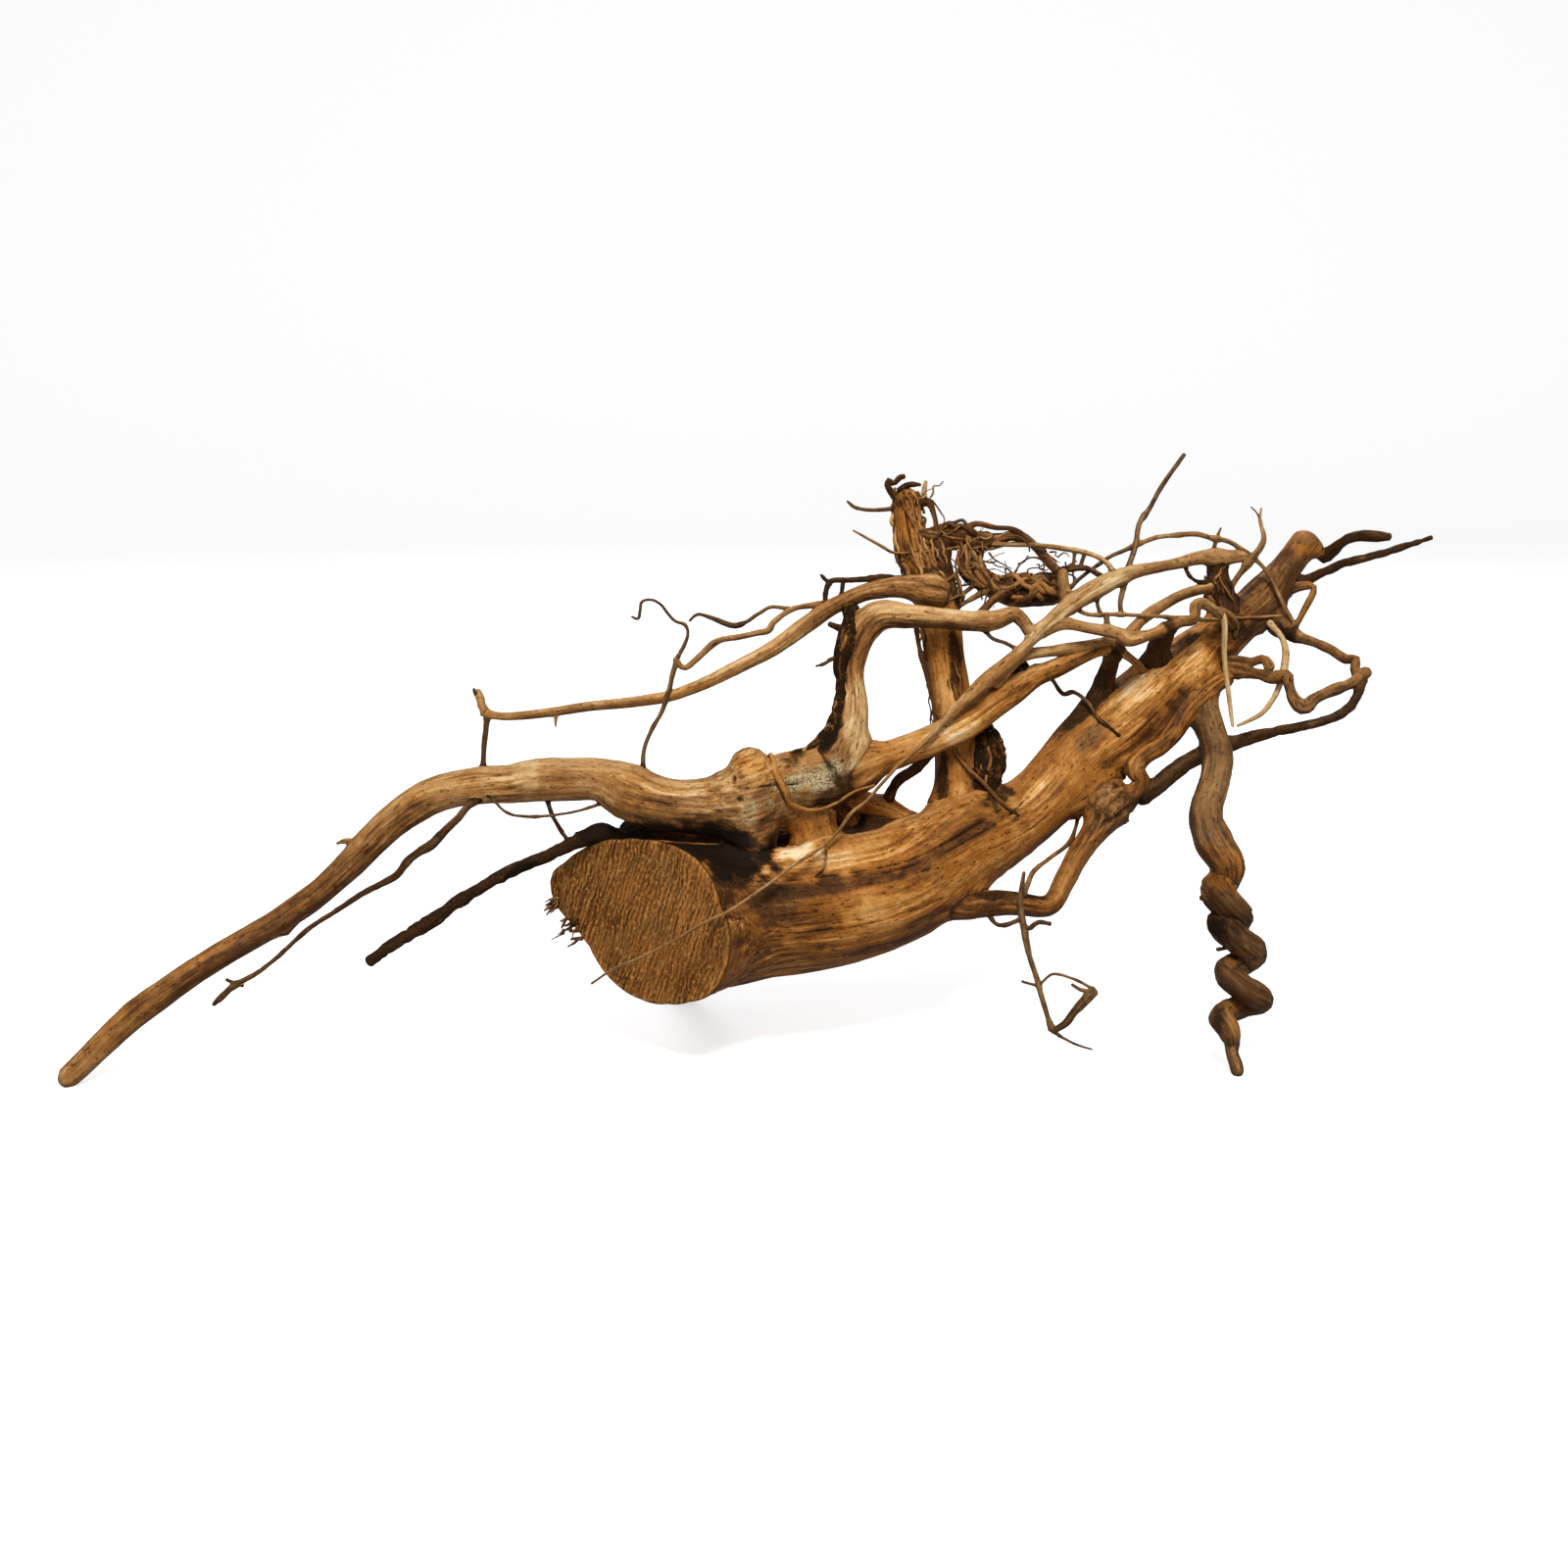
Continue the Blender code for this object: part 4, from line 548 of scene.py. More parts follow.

# Patches of colour by limb. A row is the middle's x and y, half length and half width in pixels, the
# turn in degrees, and what is added to tone, warm, weather and dirt. Some rows are painted shade: the
# near-black band where the butt's top meets the left limb, the dark rows in the corkscrew's turns and
# the row under upright_one's level run. The cream and pale rows on the trunk's top are painted
# highlights.
PATCHES = {
    "trunk": (
        # Painted shade: the row at (736, 864) darkens the butt's top under the left limb nearly to
        # black.
        (800, 925, 80, 44, -8, -0.22, 0.1, 0, 0), (736, 864, 58, 26, 12, -0.45, 0, 0, 1.3),
        (1120, 720, 110, 50, -42, -0.06, 0, 0, 0), (1110, 765, 90, 40, -42, 0.03, 0.05, 0, -0.05),
        # Painted highlight: the cream row at (812, 868).
        (940, 890, 110, 45, -20, -0.08, 0.15, 0, -0.02), (812, 868, 27, 10, -6, 0.44, -0.05, 0, -0.3),
        (870, 872, 60, 12, -12, 0.14, 0.12, 0, -0.2), (762, 938, 26, 16, -8, 0.14, -0.1, 0.1, 0),
        (790, 920, 24, 24, 0, -0.1, -0.2, 0.05, 0.22), (735, 905, 14, 30, 0, -0.12, 0, 0, 0.45),
        # Painted shade: the rows at (696, 856) and (755, 890) darken the butt's top under the left
        # limb.
        (696, 856, 112, 17, 4, -0.35, 0, 0, 1.1), (755, 890, 26, 16, 0, -0.2, 0, 0, 0.55),
        (760, 968, 34, 14, -8, -0.04, 0, 0, 0.12), (860, 902, 90, 10, -9, -0.16, 0, 0, 0.24),
        (975, 860, 66, 10, -30, -0.16, 0, 0, 0.22), (890, 925, 70, 20, -12, 0.17, 0.16, 0, -0.1),
        (1000, 880, 62, 24, -32, 0.13, 0.12, 0, -0.1), (850, 965, 80, 14, -10, 0.02, 0.1, 0, 0),
        (950, 945, 60, 12, -22, -0.04, 0.05, 0, 0.04),
        (1112, 752, 26, 12, -46, -0.12, -0.45, 0.2, 0.15),
        # Painted highlight: the pale row at (1166, 700) on the trunk's top.
        (1166, 700, 30, 14, -42, 0.2, -0.08, 0, -0.2), (1080, 795, 50, 20, -42, 0.04, 0.08, 0, -0.05),
        (1184, 742, 44, 16, -44, -0.12, 0.15, 0, 0.16), (1206, 720, 28, 10, -50, -0.14, 0.12, 0, 0.22),
        (1106, 724, 62, 9, -40, -0.22, -0.1, 0, 0.62), (1196, 664, 40, 8, -34, -0.22, -0.1, 0, 0.6),
        (1216, 672, 26, 20, -46, 0.12, 0.16, 0, -0.1), (1252, 650, 26, 20, -40, -0.16, 0.1, 0, 0.32),
        (1296, 600, 60, 34, -55, -0.24, -0.25, 0, 0.2), (1334, 546, 18, 14, 0, -0.04, -0.2, 0, 0),
        (1132, 776, 14, 9, -30, -0.12, 0, 0, 0.35), (1020, 812, 20, 12, -30, -0.15, 0, 0, 0.6)),
    "left_limb": (
        (690, 815, 70, 22, 0, 0.1, 0.1, 0, -0.05), (250, 960, 190, 30, -36, -0.17, 0.14, 0, 0),
        # Painted shade: the row at (696, 856) darkens the limb's underside over the butt nearly to
        # black.
        (460, 808, 60, 14, 0, 0.06, 0.1, 0, 0), (696, 856, 112, 17, 4, -0.35, 0, 0, 1.1),
        (766, 786, 24, 20, 0, 0.05, 0.25, 0, 0), (800, 815, 34, 18, 0, -0.04, -0.1, 0.3, 0.1),
        (537, 792, 15, 20, 0, 0.13, -0.1, 0, -0.1), (590, 800, 36, 16, 8, -0.03, 0.08, 0, 0),
        (655, 822, 42, 12, 0, -0.08, 0.06, 0, 0.12), (410, 855, 44, 14, -35, -0.06, 0.18, 0, 0.05),
        (300, 930, 80, 10, -25, -0.03, 0.1, 0, 0.02), (766, 778, 20, 14, 0, -0.02, 0.18, 0, 0),
        (764, 834, 11, 24, 4, 0.18, -0.22, 0.35, 0.1), (790, 845, 20, 18, 0, -0.12, 0.1, 0, 0.2),
        (715, 836, 40, 10, 4, -0.12, 0, 0, 0.2), (834, 792, 42, 15, -14, 0.06, -0.35, 0.6, 0.1),
        (808, 776, 26, 8, -26, -0.04, 0.2, 0, 0.35)),
    "diagonal_branch": (
        (940, 765, 90, 22, -18, 0.1, 0, 0, -0.08), (834, 792, 42, 15, -14, 0.06, -0.35, 0.6, 0.1),
        (980, 745, 22, 16, -30, 0.18, 0, 0, -0.2), (910, 782, 40, 8, -16, -0.1, 0.08, 0, 0.2),
        (1040, 712, 36, 10, -32, -0.02, 0.2, 0, 0)),
    "long_root": ((1100, 615, 70, 40, -30, 0.12, -0.1, 0, -0.05),),
    "long_branch": ((760, 675, 90, 30, -20, 0.06, 0.05, 0, -0.05),),
    "upright_two": (
        (965, 680, 20, 60, -4, 0.06, 0.1, 0, -0.05), (934, 520, 16, 34, -6, 0, 0.16, 0, 0.15),
        (950, 585, 22, 14, 0, -0.16, 0, 0, 0.5), (976, 680, 8, 60, -6, -0.16, 0, 0, 0.5),
        (966, 720, 12, 50, -6, 0.1, 0.06, 0, -0.1), (962, 800, 8, 40, 2, -0.2, 0, 0, 0.55),
        (978, 812, 10, 18, 2, 0.16, 0, 0, -0.2)),
    "upright_one": (
        (834, 792, 42, 15, -14, 0.06, -0.35, 0.6, 0.1), (808, 776, 26, 8, -26, -0.04, 0.2, 0, 0.35),
        (846, 744, 12, 28, 18, -0.3, 0, 0, 0.95), (876, 735, 16, 50, 4, 0.26, -0.14, 0.08, -0.12),
        (868, 672, 12, 30, 10, -0.08, 0.1, 0, 0.2), (940, 622, 80, 13, 2, 0.18, -0.1, 0.04, -0.12),
        # Painted shade: the row at (960, 640) darkens the underside of the level run.
        (960, 640, 60, 6, 2, -0.12, 0, 0, 0.3)),
    "side_root": (
        (1133, 822, 26, 24, 0, 0.04, -0.42, 0, 0.05), (1158, 783, 12, 12, 0, 0.22, -0.2, 0, -0.1),
        (1030, 912, 50, 8, 0, -0.2, 0, 0, 0.35), (1040, 926, 60, 14, 0, -0.08, 0.15, 0, 0.1),
        (1090, 895, 14, 40, 30, 0.06, 0, 0, 0)),
    "corkscrew": (
        # Painted shade: the dark rows at (1252, 950), (1248, 1011), (1240, 935) and (1244, 1040) in the
        # coil's turns.
        (1240, 885, 24, 20, 0, 0.02, 0.1, 0, 0), (1252, 950, 20, 18, 20, -0.12, -0.1, 0, 0.3),
        (1274, 984, 15, 9, 30, 0.14, -0.25, 0, -0.15), (1248, 1011, 16, 8, 20, -0.14, 0, 0, 0.35),
        (1256, 1050, 10, 10, 0, 0.05, 0.3, 0, -0.1), (1240, 935, 18, 24, 0, -0.2, -0.1, 0, 0.45),
        (1276, 975, 16, 10, 30, 0.06, 0, 0, 0), (1244, 890, 30, 34, 0, 0.06, 0.35, 0, 0),
        (1262, 976, 12, 8, 0, 0.04, 0.4, 0, 0), (1264, 1030, 14, 10, 0, 0.02, 0.35, 0, 0),
        (1244, 1040, 10, 16, 0, -0.14, -0.1, 0.1, 0.3)),
    "limb_bridge": ((850, 850, 36, 16, 0, 0, 0.16, 0, 0.1),),
    "loop_root": ((850, 850, 36, 16, 0, 0, 0.16, 0, 0.1),),
}

# The stage, in metres. The floor runs from its front to its back, sweeps up and ends at its top. Only
# the camera sees it bright, and light that bounces meets a darker grey. A light has a place, a size and
# a power in watts.
FLOOR_SIDE = 9.0
FLOOR_FRONT = -6.0
FLOOR_BACK = 4.0
FLOOR_SWEEP = 2.5
FLOOR_SWEEP_STEPS = 24
FLOOR_TOP = 8.0
FLOOR_SEEN_GREY = 0.93
FLOOR_UNSEEN_GREY = 0.42
FLOOR_GLOW = 0.62
LIGHTS = (
    ("key_light", (0.30, -2.0, 2.7), 1.0, 92.0),
    ("fill_light", (-1.6, -2.4, 1.4), 1.8, 16.0),
    ("back_light", (0.5, 2.0, 2.4), 2.0, 20.0))
LIGHT_TARGET = (0.05, 0.0, 0.2)
WORLD_STRENGTH = 0.32
SENSOR_WIDTH = 36.0

# How much lighter the pale flakes of a colour are.
LIGHTER = 1.5625

# A limb's control rows are its course points in metres, and its rows a coarse smooth course between
# them. A skin's rings of points come with their grain and paint, and its first saw rings are the cut.
Limb = namedtuple("Limb", "name look control rows")
Skin = namedtuple("Skin", "points grain paint saw_rings")

# Values on each side of the noise's lattice, reads between two control rows of a course, points that
# one distance search takes at a time, and extra rings at a limb's tips.
LATTICE_SIZE = 64
COURSE_READS = 12
CHUNK = 12000
TIP_RINGS = 5

# Steps of a host's walk inwards, how often the crossing is halved down, and how far in the walk goes.
WALK_STEPS = 36
HALVINGS = 6
INNERMOST = 3.0 * MM

# A join's blend reach is a share of the smaller radius between a least and a most reach, and the rounds
# find its swelling. The painted shade of a crevice needs another limb between the two shade radii.
BLEND_SHARE = 1.5
LEAST_BLEND = 1.2 * MM
MOST_BLEND = 24.0 * MM
BLEND_ROUNDS = 4
SHADE_RADII = (2.5 * MM, 7.0 * MM)

# A limb over the thick radius gets the fine relief and the marks. Then come the least radius of a
# course, the least share of a radius at a tip, the least points around a limb, the step around a thin
# one, and the sizes of knots and ovals as shares of the radius.
THICK_RADIUS = 6.0 * MM
THINNEST_RADIUS = 0.3 * MM
LEAST_CAP = 0.12
LEAST_TURNS = 8
THIN_STEP = 0.9 * MM
KNOT_SWELL = 2.2
OVAL_SHARE = 0.05

# Stretch beside the saw cut where the relief fades in, and rings over which its slope is read.
SAW_FADE_LENGTH = 0.012
SLOPE_RINGS = 4

FIBRE_STEPS = 4
STRAND_POINTS = 9

# First seed of each noise. A noise of several octaves also takes the seeds that follow.
SEED_WANDER = 11
SEED_KNOT = 21
SEED_OVAL = 22
SEED_LUMP = 31
SEED_GROOVE = 34
SEED_RIDGE = 38
SEED_FINE = 41
SEED_TORN = 44
SEED_TONE = 47
SEED_WARM = 51
SEED_WEATHER = 55
SEED_EDGE = 60
SEED_SAW_MARKS = 71
SEED_SAW_TORN = 74
SEED_SAW_WAVES = 77
SEED_SAW_TONE = 81
SEED_FIBRES = 5
SEED_STRANDS = 17


def smoothstep(low, high, value):
    """0 below low and 1 above high, with a smooth step between."""
    share = np.clip((value - low) / (high - low), 0.0, 1.0)
    return share * share * (3.0 - 2.0 * share)


def unit(vectors):
    """The vectors brought to length 1."""
    return vectors / np.maximum(np.linalg.norm(vectors, axis=-1, keepdims=True), 1e-12)


def placed(points):
    """World rows (x, y, z, radius) in metres of picture points (x, y, depth, radius).

    A point at a depth behind the middle plane lies on its line of sight: its offsets from the
    picture's middle grow by 1 + depth / viewing distance, and are then tilted by the view's pitch.
    """
    x, y, depth, radius = np.asarray(points, float).T
    scale = MM_PER_PIXEL * (1.0 + depth / VIEW_DISTANCE)
    across = (x - MIDDLE_PIXEL) * scale
    up = (MIDDLE_PIXEL - y) * scale
    back = up * math.sin(VIEW_PITCH) + depth * math.cos(VIEW_PITCH)
    height = MIDDLE_HEIGHT + up * math.cos(VIEW_PITCH) - depth * math.sin(VIEW_PITCH)
    return np.column_stack([across - ORIGIN_X, back - ORIGIN_Y, height, radius]) * MM


def picture_places(points):
    """Picture x and y in pixels of world points: the reverse of placed()."""
    offset = (points - PICTURE_MIDDLE) / MM
    scale = MM_PER_PIXEL * (1.0 + offset @ VIEW_FORWARD / VIEW_DISTANCE)
    return MIDDLE_PIXEL + offset[..., 0] / scale, MIDDLE_PIXEL - (offset @ VIEW_UP) / scale


EYE = PICTURE_MIDDLE - VIEW_FORWARD * VIEW_DISTANCE * MM
SAW_PLACE = placed([(*SAW_FACE_MIDDLE, 1.0)])[0, :3]

lattices = {}


def noise(points, seed):
    """Smooth noise from -1 to 1: random values on a cubic lattice, blended by smooth steps."""
    if seed not in lattices:
        drawn = np.random.default_rng(seed).random((LATTICE_SIZE,) * 3, dtype=np.float32)
        lattices[seed] = drawn * 2.0 - 1.0
    table = lattices[seed]
    cell = np.floor(points)
    share = points - cell
    share = share * share * (3.0 - 2.0 * share)
    low = cell.astype(np.int64) % LATTICE_SIZE
    high = (low + 1) % LATTICE_SIZE
    x, y, z = share[..., 0], share[..., 1], share[..., 2]

    def row(a, b):
        return table[low[..., 0], a, b] * (1.0 - x) + table[high[..., 0], a, b] * x

    front = row(low[..., 1], low[..., 2]) * (1.0 - y) + row(high[..., 1], low[..., 2]) * y
    back = row(low[..., 1], high[..., 2]) * (1.0 - y) + row(high[..., 1], high[..., 2]) * y
    return front * (1.0 - z) + back * z


def fractal(points, octaves, seed):
    """Sum of noises, each twice as fine and half as strong as the one before."""
    total = sum(noise(points * 2.0 ** k, seed + k) / 2.0 ** k for k in range(octaves))
    return total / (2.0 - 2.0 ** (1 - octaves))


def drawn_out(place, share, size, octaves, seed):
    """Noise on the place in the grain, drawn out lengthwise: across it varies faster than along."""
    return fractal(place * np.array([share, 1.0, 1.0]) / size, octaves, seed)


def spots_along(along, size, row):
    """Places in the noise that change with the length along a limb only, in a row of the limb's own."""
    return np.column_stack([along / size, np.full(len(along), row), np.zeros(len(along))])


def fine_course(control, reads=COURSE_READS):
    """Catmull-Rom curve through the control rows, with the given number of reads between two."""
    rows = np.vstack([2.0 * control[0] - control[1], control, 2.0 * control[-1] - control[-2]])
    t = (np.arange(reads) / reads)[:, None, None]
    before, start, end, after = rows[:-3], rows[1:-2], rows[2:-1], rows[3:]
    curve = 0.5 * (
        2.0 * start + (end - before) * t
        + (2.0 * before - 5.0 * start + 4.0 * end - after) * t ** 2
        + (3.0 * start - before - 3.0 * end + after) * t ** 3)
    curve = curve.transpose(1, 0, 2).reshape(-1, control.shape[1])
    return np.vstack([curve, control[-1]])


def even_course(control, spacing):
    """The smooth course read at even steps of its length, with closer steps at its two ends."""
    curve = fine_course(control)
    steps = np.linalg.norm(np.diff(curve[:, :3], axis=0), axis=1)
    length = np.concatenate([[0.0], np.cumsum(steps)])
    total = length[-1]
    even = np.linspace(0.0, total, max(6, int(round(total / spacing)) + 1))
    tip = 1.0 - np.cos(np.linspace(0.0, math.pi / 2.0, TIP_RINGS + 1)[1:])
    first = tip * min(control[0, 3], total / 4.0)
    last = total - tip * min(control[-1, 3], total / 4.0)
    along = np.unique(np.concatenate([even, first, last]).round(7))
    course = np.column_stack([np.interp(along, length, column) for column in curve.T])
    course[:, 3] = np.maximum(course[:, 3], THINNEST_RADIUS)
    return course, along


def carried_frames(centres, directions):
    """Two axes square to each direction, carried along the course without twist.

    Each pair of axes is the last one mirrored twice: across the plane midway between two centres, and
    across the one midway between the mirrored direction and the new one.
    """
    sides = np.empty_like(centres)
    pick = np.eye(3)[np.argmin(np.abs(directions[0]))]
    side = unit(np.cross(directions[0], pick))
    sides[0] = side
    for k in range(len(centres) - 1):
        step = centres[k + 1] - centres[k]
        square = max(step @ step, 1e-18)
        mirrored_side = side - step * (2.0 / square) * (step @ side)
        mirrored = directions[k] - step * (2.0 / square) * (step @ directions[k])
        turn = directions[k + 1] - mirrored
        square = max(turn @ turn, 1e-18)
        side = mirrored_side - turn * (2.0 / square) * (turn @ mirrored_side)
        side = unit(side - directions[k + 1] * (side @ directions[k + 1]))
        sides[k + 1] = side
    return sides, np.cross(directions, sides)


def tube_distance(points, rows):
    """Distance of each point from a tube's surface, the tube's radius there, and the way outwards.

    For every stretch of the course the nearest point on it is found, and the stretch with the least
    distance less radius is kept.
    """
    starts, runs = rows[:-1, :3], np.diff(rows[:, :3], axis=0)
    squares = np.maximum((runs ** 2).sum(1), 1e-14)
    grows = np.diff(rows[:, 3])
    distance = np.empty(len(points))
    radius = np.empty(len(points))
    outward = np.empty((len(points), 3))
    for begin in range(0, len(points), CHUNK):
        part = points[begin:begin + CHUNK]
        share = np.clip((part @ runs.T - (starts * runs).sum(1)) / squares, 0.0, 1.0)
        away = part[:, None] - (starts + runs * share[..., None])
        gap = np.sqrt((away ** 2).sum(-1))
        thick = rows[:-1, 3] + grows * share
        near = (gap - thick).argmin(1)
        pick = np.arange(len(part))
        distance[begin:begin + CHUNK] = (gap - thick)[pick, near]
        radius[begin:begin + CHUNK] = thick[pick, near]
        outward[begin:begin + CHUNK] = away[pick, near] / np.maximum(gap[pick, near], 1e-9)[:, None]
    return distance, radius, outward


def all_limbs():
    """Every limb by name, with its control rows and a coarse smooth course for distances."""
    limbs = {}
    for group in LIMB_GROUPS:
        for name, (look, points) in group.items():
            control = placed(points)
            limbs[name] = Limb(name, LOOKS[look], control, fine_course(control, 2))
    return limbs


def host_radius(centres, spokes, limbs, host):
    """Radius of a host's surface along each spoke, with its bumps and ridges blended in.

    The distance to the host and its members is blended by a smooth minimum. Each spoke is walked from
    outside inwards until that distance turns negative, and the crossing is then halved down. The walk
    is done on every second ring and spoke, and the radii between are read off linearly.
    """
    reach = HOST_REACH[host] * MM
    blend = HOST_BLEND[host] * MM
    rings = np.unique(np.append(np.arange(0, len(centres), 2), len(centres) - 1))
    turns = np.arange(0, spokes.shape[1], 2)
    middle = centres[rings][:, None]
    ray = spokes[rings][:, turns]

    def blended(radius):
        points = (middle + ray * radius[..., None]).reshape(-1, 3)
        total = tube_distance(points, limbs[host].rows)[0]
        for member in HOSTS[host]:
            other = tube_distance(points, limbs[member].rows)[0]
            share = np.clip(0.5 + 0.5 * (total - other) / blend, 0.0, 1.0)
            total = total + (other - total) * share - blend * share * (1.0 - share)
        return total.reshape(radius.shape)

    levels = np.linspace(reach, INNERMOST, WALK_STEPS)
    found = np.full(ray.shape[:2], levels[-1])
    outside = np.ones(ray.shape[:2], bool)
    for level in levels:
        inside = blended(np.full(ray.shape[:2], level)) < 0.0
        found[outside & inside] = level
        outside &= ~inside
    low, high = found, found + (levels[0] - levels[1])
    for _ in range(HALVINGS):
        middle_radius = (low + high) / 2.0
        inside = blended(middle_radius) < 0.0
        low = np.where(inside, middle_radius, low)
        high = np.where(inside, high, middle_radius)
    closed_turns = np.append(turns, spokes.shape[1])
    closed = np.column_stack([low, low[:, :1]])
    across = np.array([
        np.interp(np.arange(spokes.shape[1]), closed_turns, line) for line in closed])
    return np.array([np.interp(np.arange(len(centres)), rings, line) for line in across.T]).T


def meeting(points, spokes, limb, limbs, skip):
    """How far a limb's surface swells towards the limbs that it meets, and how deep it sits by them,
    which becomes painted shade in the crevice.

    Where the other surface is d away and the blend reach is k, a smooth union lies k/4 (1 - |o - d|/k)
    squared out, o being that swelling itself, so it is found by repeating the formula.
    """
    swell = np.zeros(len(points))
    crevice_shade = np.zeros(len(points))
    own = tube_distance(points, limb.rows)[1]
    for other in limbs.values():
        if other.name == limb.name or other.name in skip:
            continue
        widest = other.rows[:, 3].max()
        reach = 1.4 * min(widest, own.max()) + 8.0 * MM
        low = other.rows[:, :3].min(0) - widest - reach
        high = other.rows[:, :3].max(0) + widest + reach
        near = np.flatnonzero(((points > low) & (points < high)).all(1))
        if not len(near):
            continue
        distance, radius, outward = tube_distance(points[near], other.rows)
        if other.name == "trunk":
            before = (points[near] - SAW_PLACE) @ SAW_FACE_NORMAL
            cut = before > distance
            distance = np.where(cut, before, distance)
            outward = np.where(cut[:, None], SAW_FACE_NORMAL, outward)
        small = np.minimum(radius, own[near])
        blend = np.clip(BLEND_SHARE * small, LEAST_BLEND, MOST_BLEND)
        slope = (outward * spokes[near]).sum(1)
        offset = np.zeros(len(near))
        for _ in range(BLEND_ROUNDS):
            gap = np.abs(offset - (distance + offset * slope))
            offset = blend / 4.0 * np.clip(1.0 - gap / blend, 0.0, 1.0) ** 2
        swell[near] = np.maximum(swell[near], offset)
        # Painted shade: the nearer a point is to another limb's surface, the darker it is painted.
        shade = np.clip(1.0 - distance / (0.10 * radius + 1.6 * MM), 0.0, 1.0)
        crevice_shade[near] = np.maximum(crevice_shade[near], shade * smoothstep(*SHADE_RADII, radius))
    return swell, crevice_shade


def patch_share(x, y, middle_x, middle_y, half_length, half_width, turn, wobble):
    """1 inside a turned ellipse in the picture and 0 outside, with a ragged edge.

    Also returns the place along the ellipse's long side, in pixels from its middle.
    """
    angle = math.radians(turn)
    across = (x - middle_x) * math.cos(angle) + (y - middle_y) * math.sin(angle)
    down = (y - middle_y) * math.cos(angle) - (x - middle_x) * math.sin(angle)
    edge = np.sqrt((across / half_length) ** 2 + (down / half_width) ** 2) + 0.30 * wobble
    return 1.0 - smoothstep(0.55, 1.20, edge), across


def crack_distance(x, y, points):
    """Least distance in pixels from each picture place to a line of picture points."""
    line = fine_course(np.asarray(points, float), 4)
    starts, runs = line[:-1], np.diff(line, axis=0)
    place = np.stack([x, y], -1)
    offset = place[:, None] - starts
    share = np.clip((offset * runs).sum(-1) / (runs ** 2).sum(-1), 0.0, 1.0)
    return np.sqrt(((offset - runs * share[..., None]) ** 2).sum(-1)).min(1)


def add_marks(name, points, outward, paint):
    """Cracks, ripples and patches of one limb, on the side that the picture shows. The cracks and the
    ripples' valleys get painted shade, and some patches are painted shade and some painted highlights.

    Returns the way that each point moves along its outward direction, in metres.
    """
    x, y = picture_places(points)
    facing = smoothstep(0.0, 0.25, (outward * unit(EYE - points)).sum(1))
    wobble = fractal(points / (9.0 * MM), 3, SEED_EDGE)
    move = np.zeros(len(points))
    for *ellipse, tone, warm, weather, dirt in PATCHES.get(name, ()):
        share = patch_share(x, y, *ellipse, 1.6 * wobble)[0] * facing
        paint += share[:, None] * np.array([tone, warm, weather, dirt])
    for limb, *ellipse, wavelength, height in RIPPLES:
        if limb == name:
            share, across = patch_share(x, y, *ellipse, wobble)
            wave = across * MM_PER_PIXEL / wavelength + 0.55 * wobble
            valley = (1.0 - np.abs(np.sin(math.pi * wave))) ** 2
            move += share * facing * (0.4 - valley) * height * MM
            # Painted shade in the ripples' valleys, added to the dirt and taken from the tone.
            paint[:, 3] += share * facing * valley * 0.25
            paint[:, 0] -= share * facing * valley * 0.14
    for limb, width, depth, line in CRACKS:
        if limb == name:
            near = facing > 0.0
            gap = np.full(len(points), 1e3)
            gap[near] = crack_distance(x[near], y[near], line)
            gap = gap + 2.2 * np.clip(wobble + 0.10, 0.0, 1.0)
            share = np.clip(1.0 - gap * MM_PER_PIXEL / width, 0.0, 1.0) * facing
            move -= share ** 0.7 * depth * MM
            # Painted shade in the crack, added to the dirt and taken from the tone.
            paint[:, 3] += smoothstep(0.25, 0.9, share) * 0.75
            paint[:, 0] -= smoothstep(0.0, 0.6, share) * 0.10
    return move


def saw_rim_radius(angle, side, top):
    """Radius of the saw cut's rim at each angle, read from its outline in the picture.

    An outline point is where the line of sight through its picture place meets the plane of the cut.
    """
    seen = placed([(x, y, 0.0, 1.0) for x, y in SAW_OUTLINE])[:, :3] - EYE
    reach = ((SAW_PLACE - EYE) @ SAW_FACE_NORMAL) / (seen @ SAW_FACE_NORMAL)
    offset = EYE + seen * reach[:, None] - SAW_PLACE
    turn = np.arctan2(offset @ top, offset @ side)
    order = np.argsort(turn)
    return np.interp(angle, turn[order], np.linalg.norm(offset, axis=1)[order], period=2.0 * math.pi)


def lead_from_rim(points, rim, along):
    """Lay the trunk's first rings between the saw cut's rim and the ring that ends the rim's length.

    Each line along the trunk is a cubic curve: it leaves the rim straight towards that ring and meets
    it at the slope of the rings beyond.
    """
    last = int(np.searchsorted(along, SAW_RIM_LENGTH))
    share = (along[:last] / along[last])[:, None, None]
    chord = points[last] - rim
    beyond = last + SLOPE_RINGS
    slope = (points[beyond] - points[last]) / (along[beyond] - along[last]) * along[last]
    points[:last] = rim + chord * share + (share ** 3 - share ** 2) * (slope - chord)


def round_end(distance, radius):
    """Share of the full radius at a distance from the tip of a limb that ends in a half ball."""
    return np.sqrt(1.0 - (1.0 - np.clip(distance / max(radius, 1e-5), 0.0, 1.0)) ** 2)


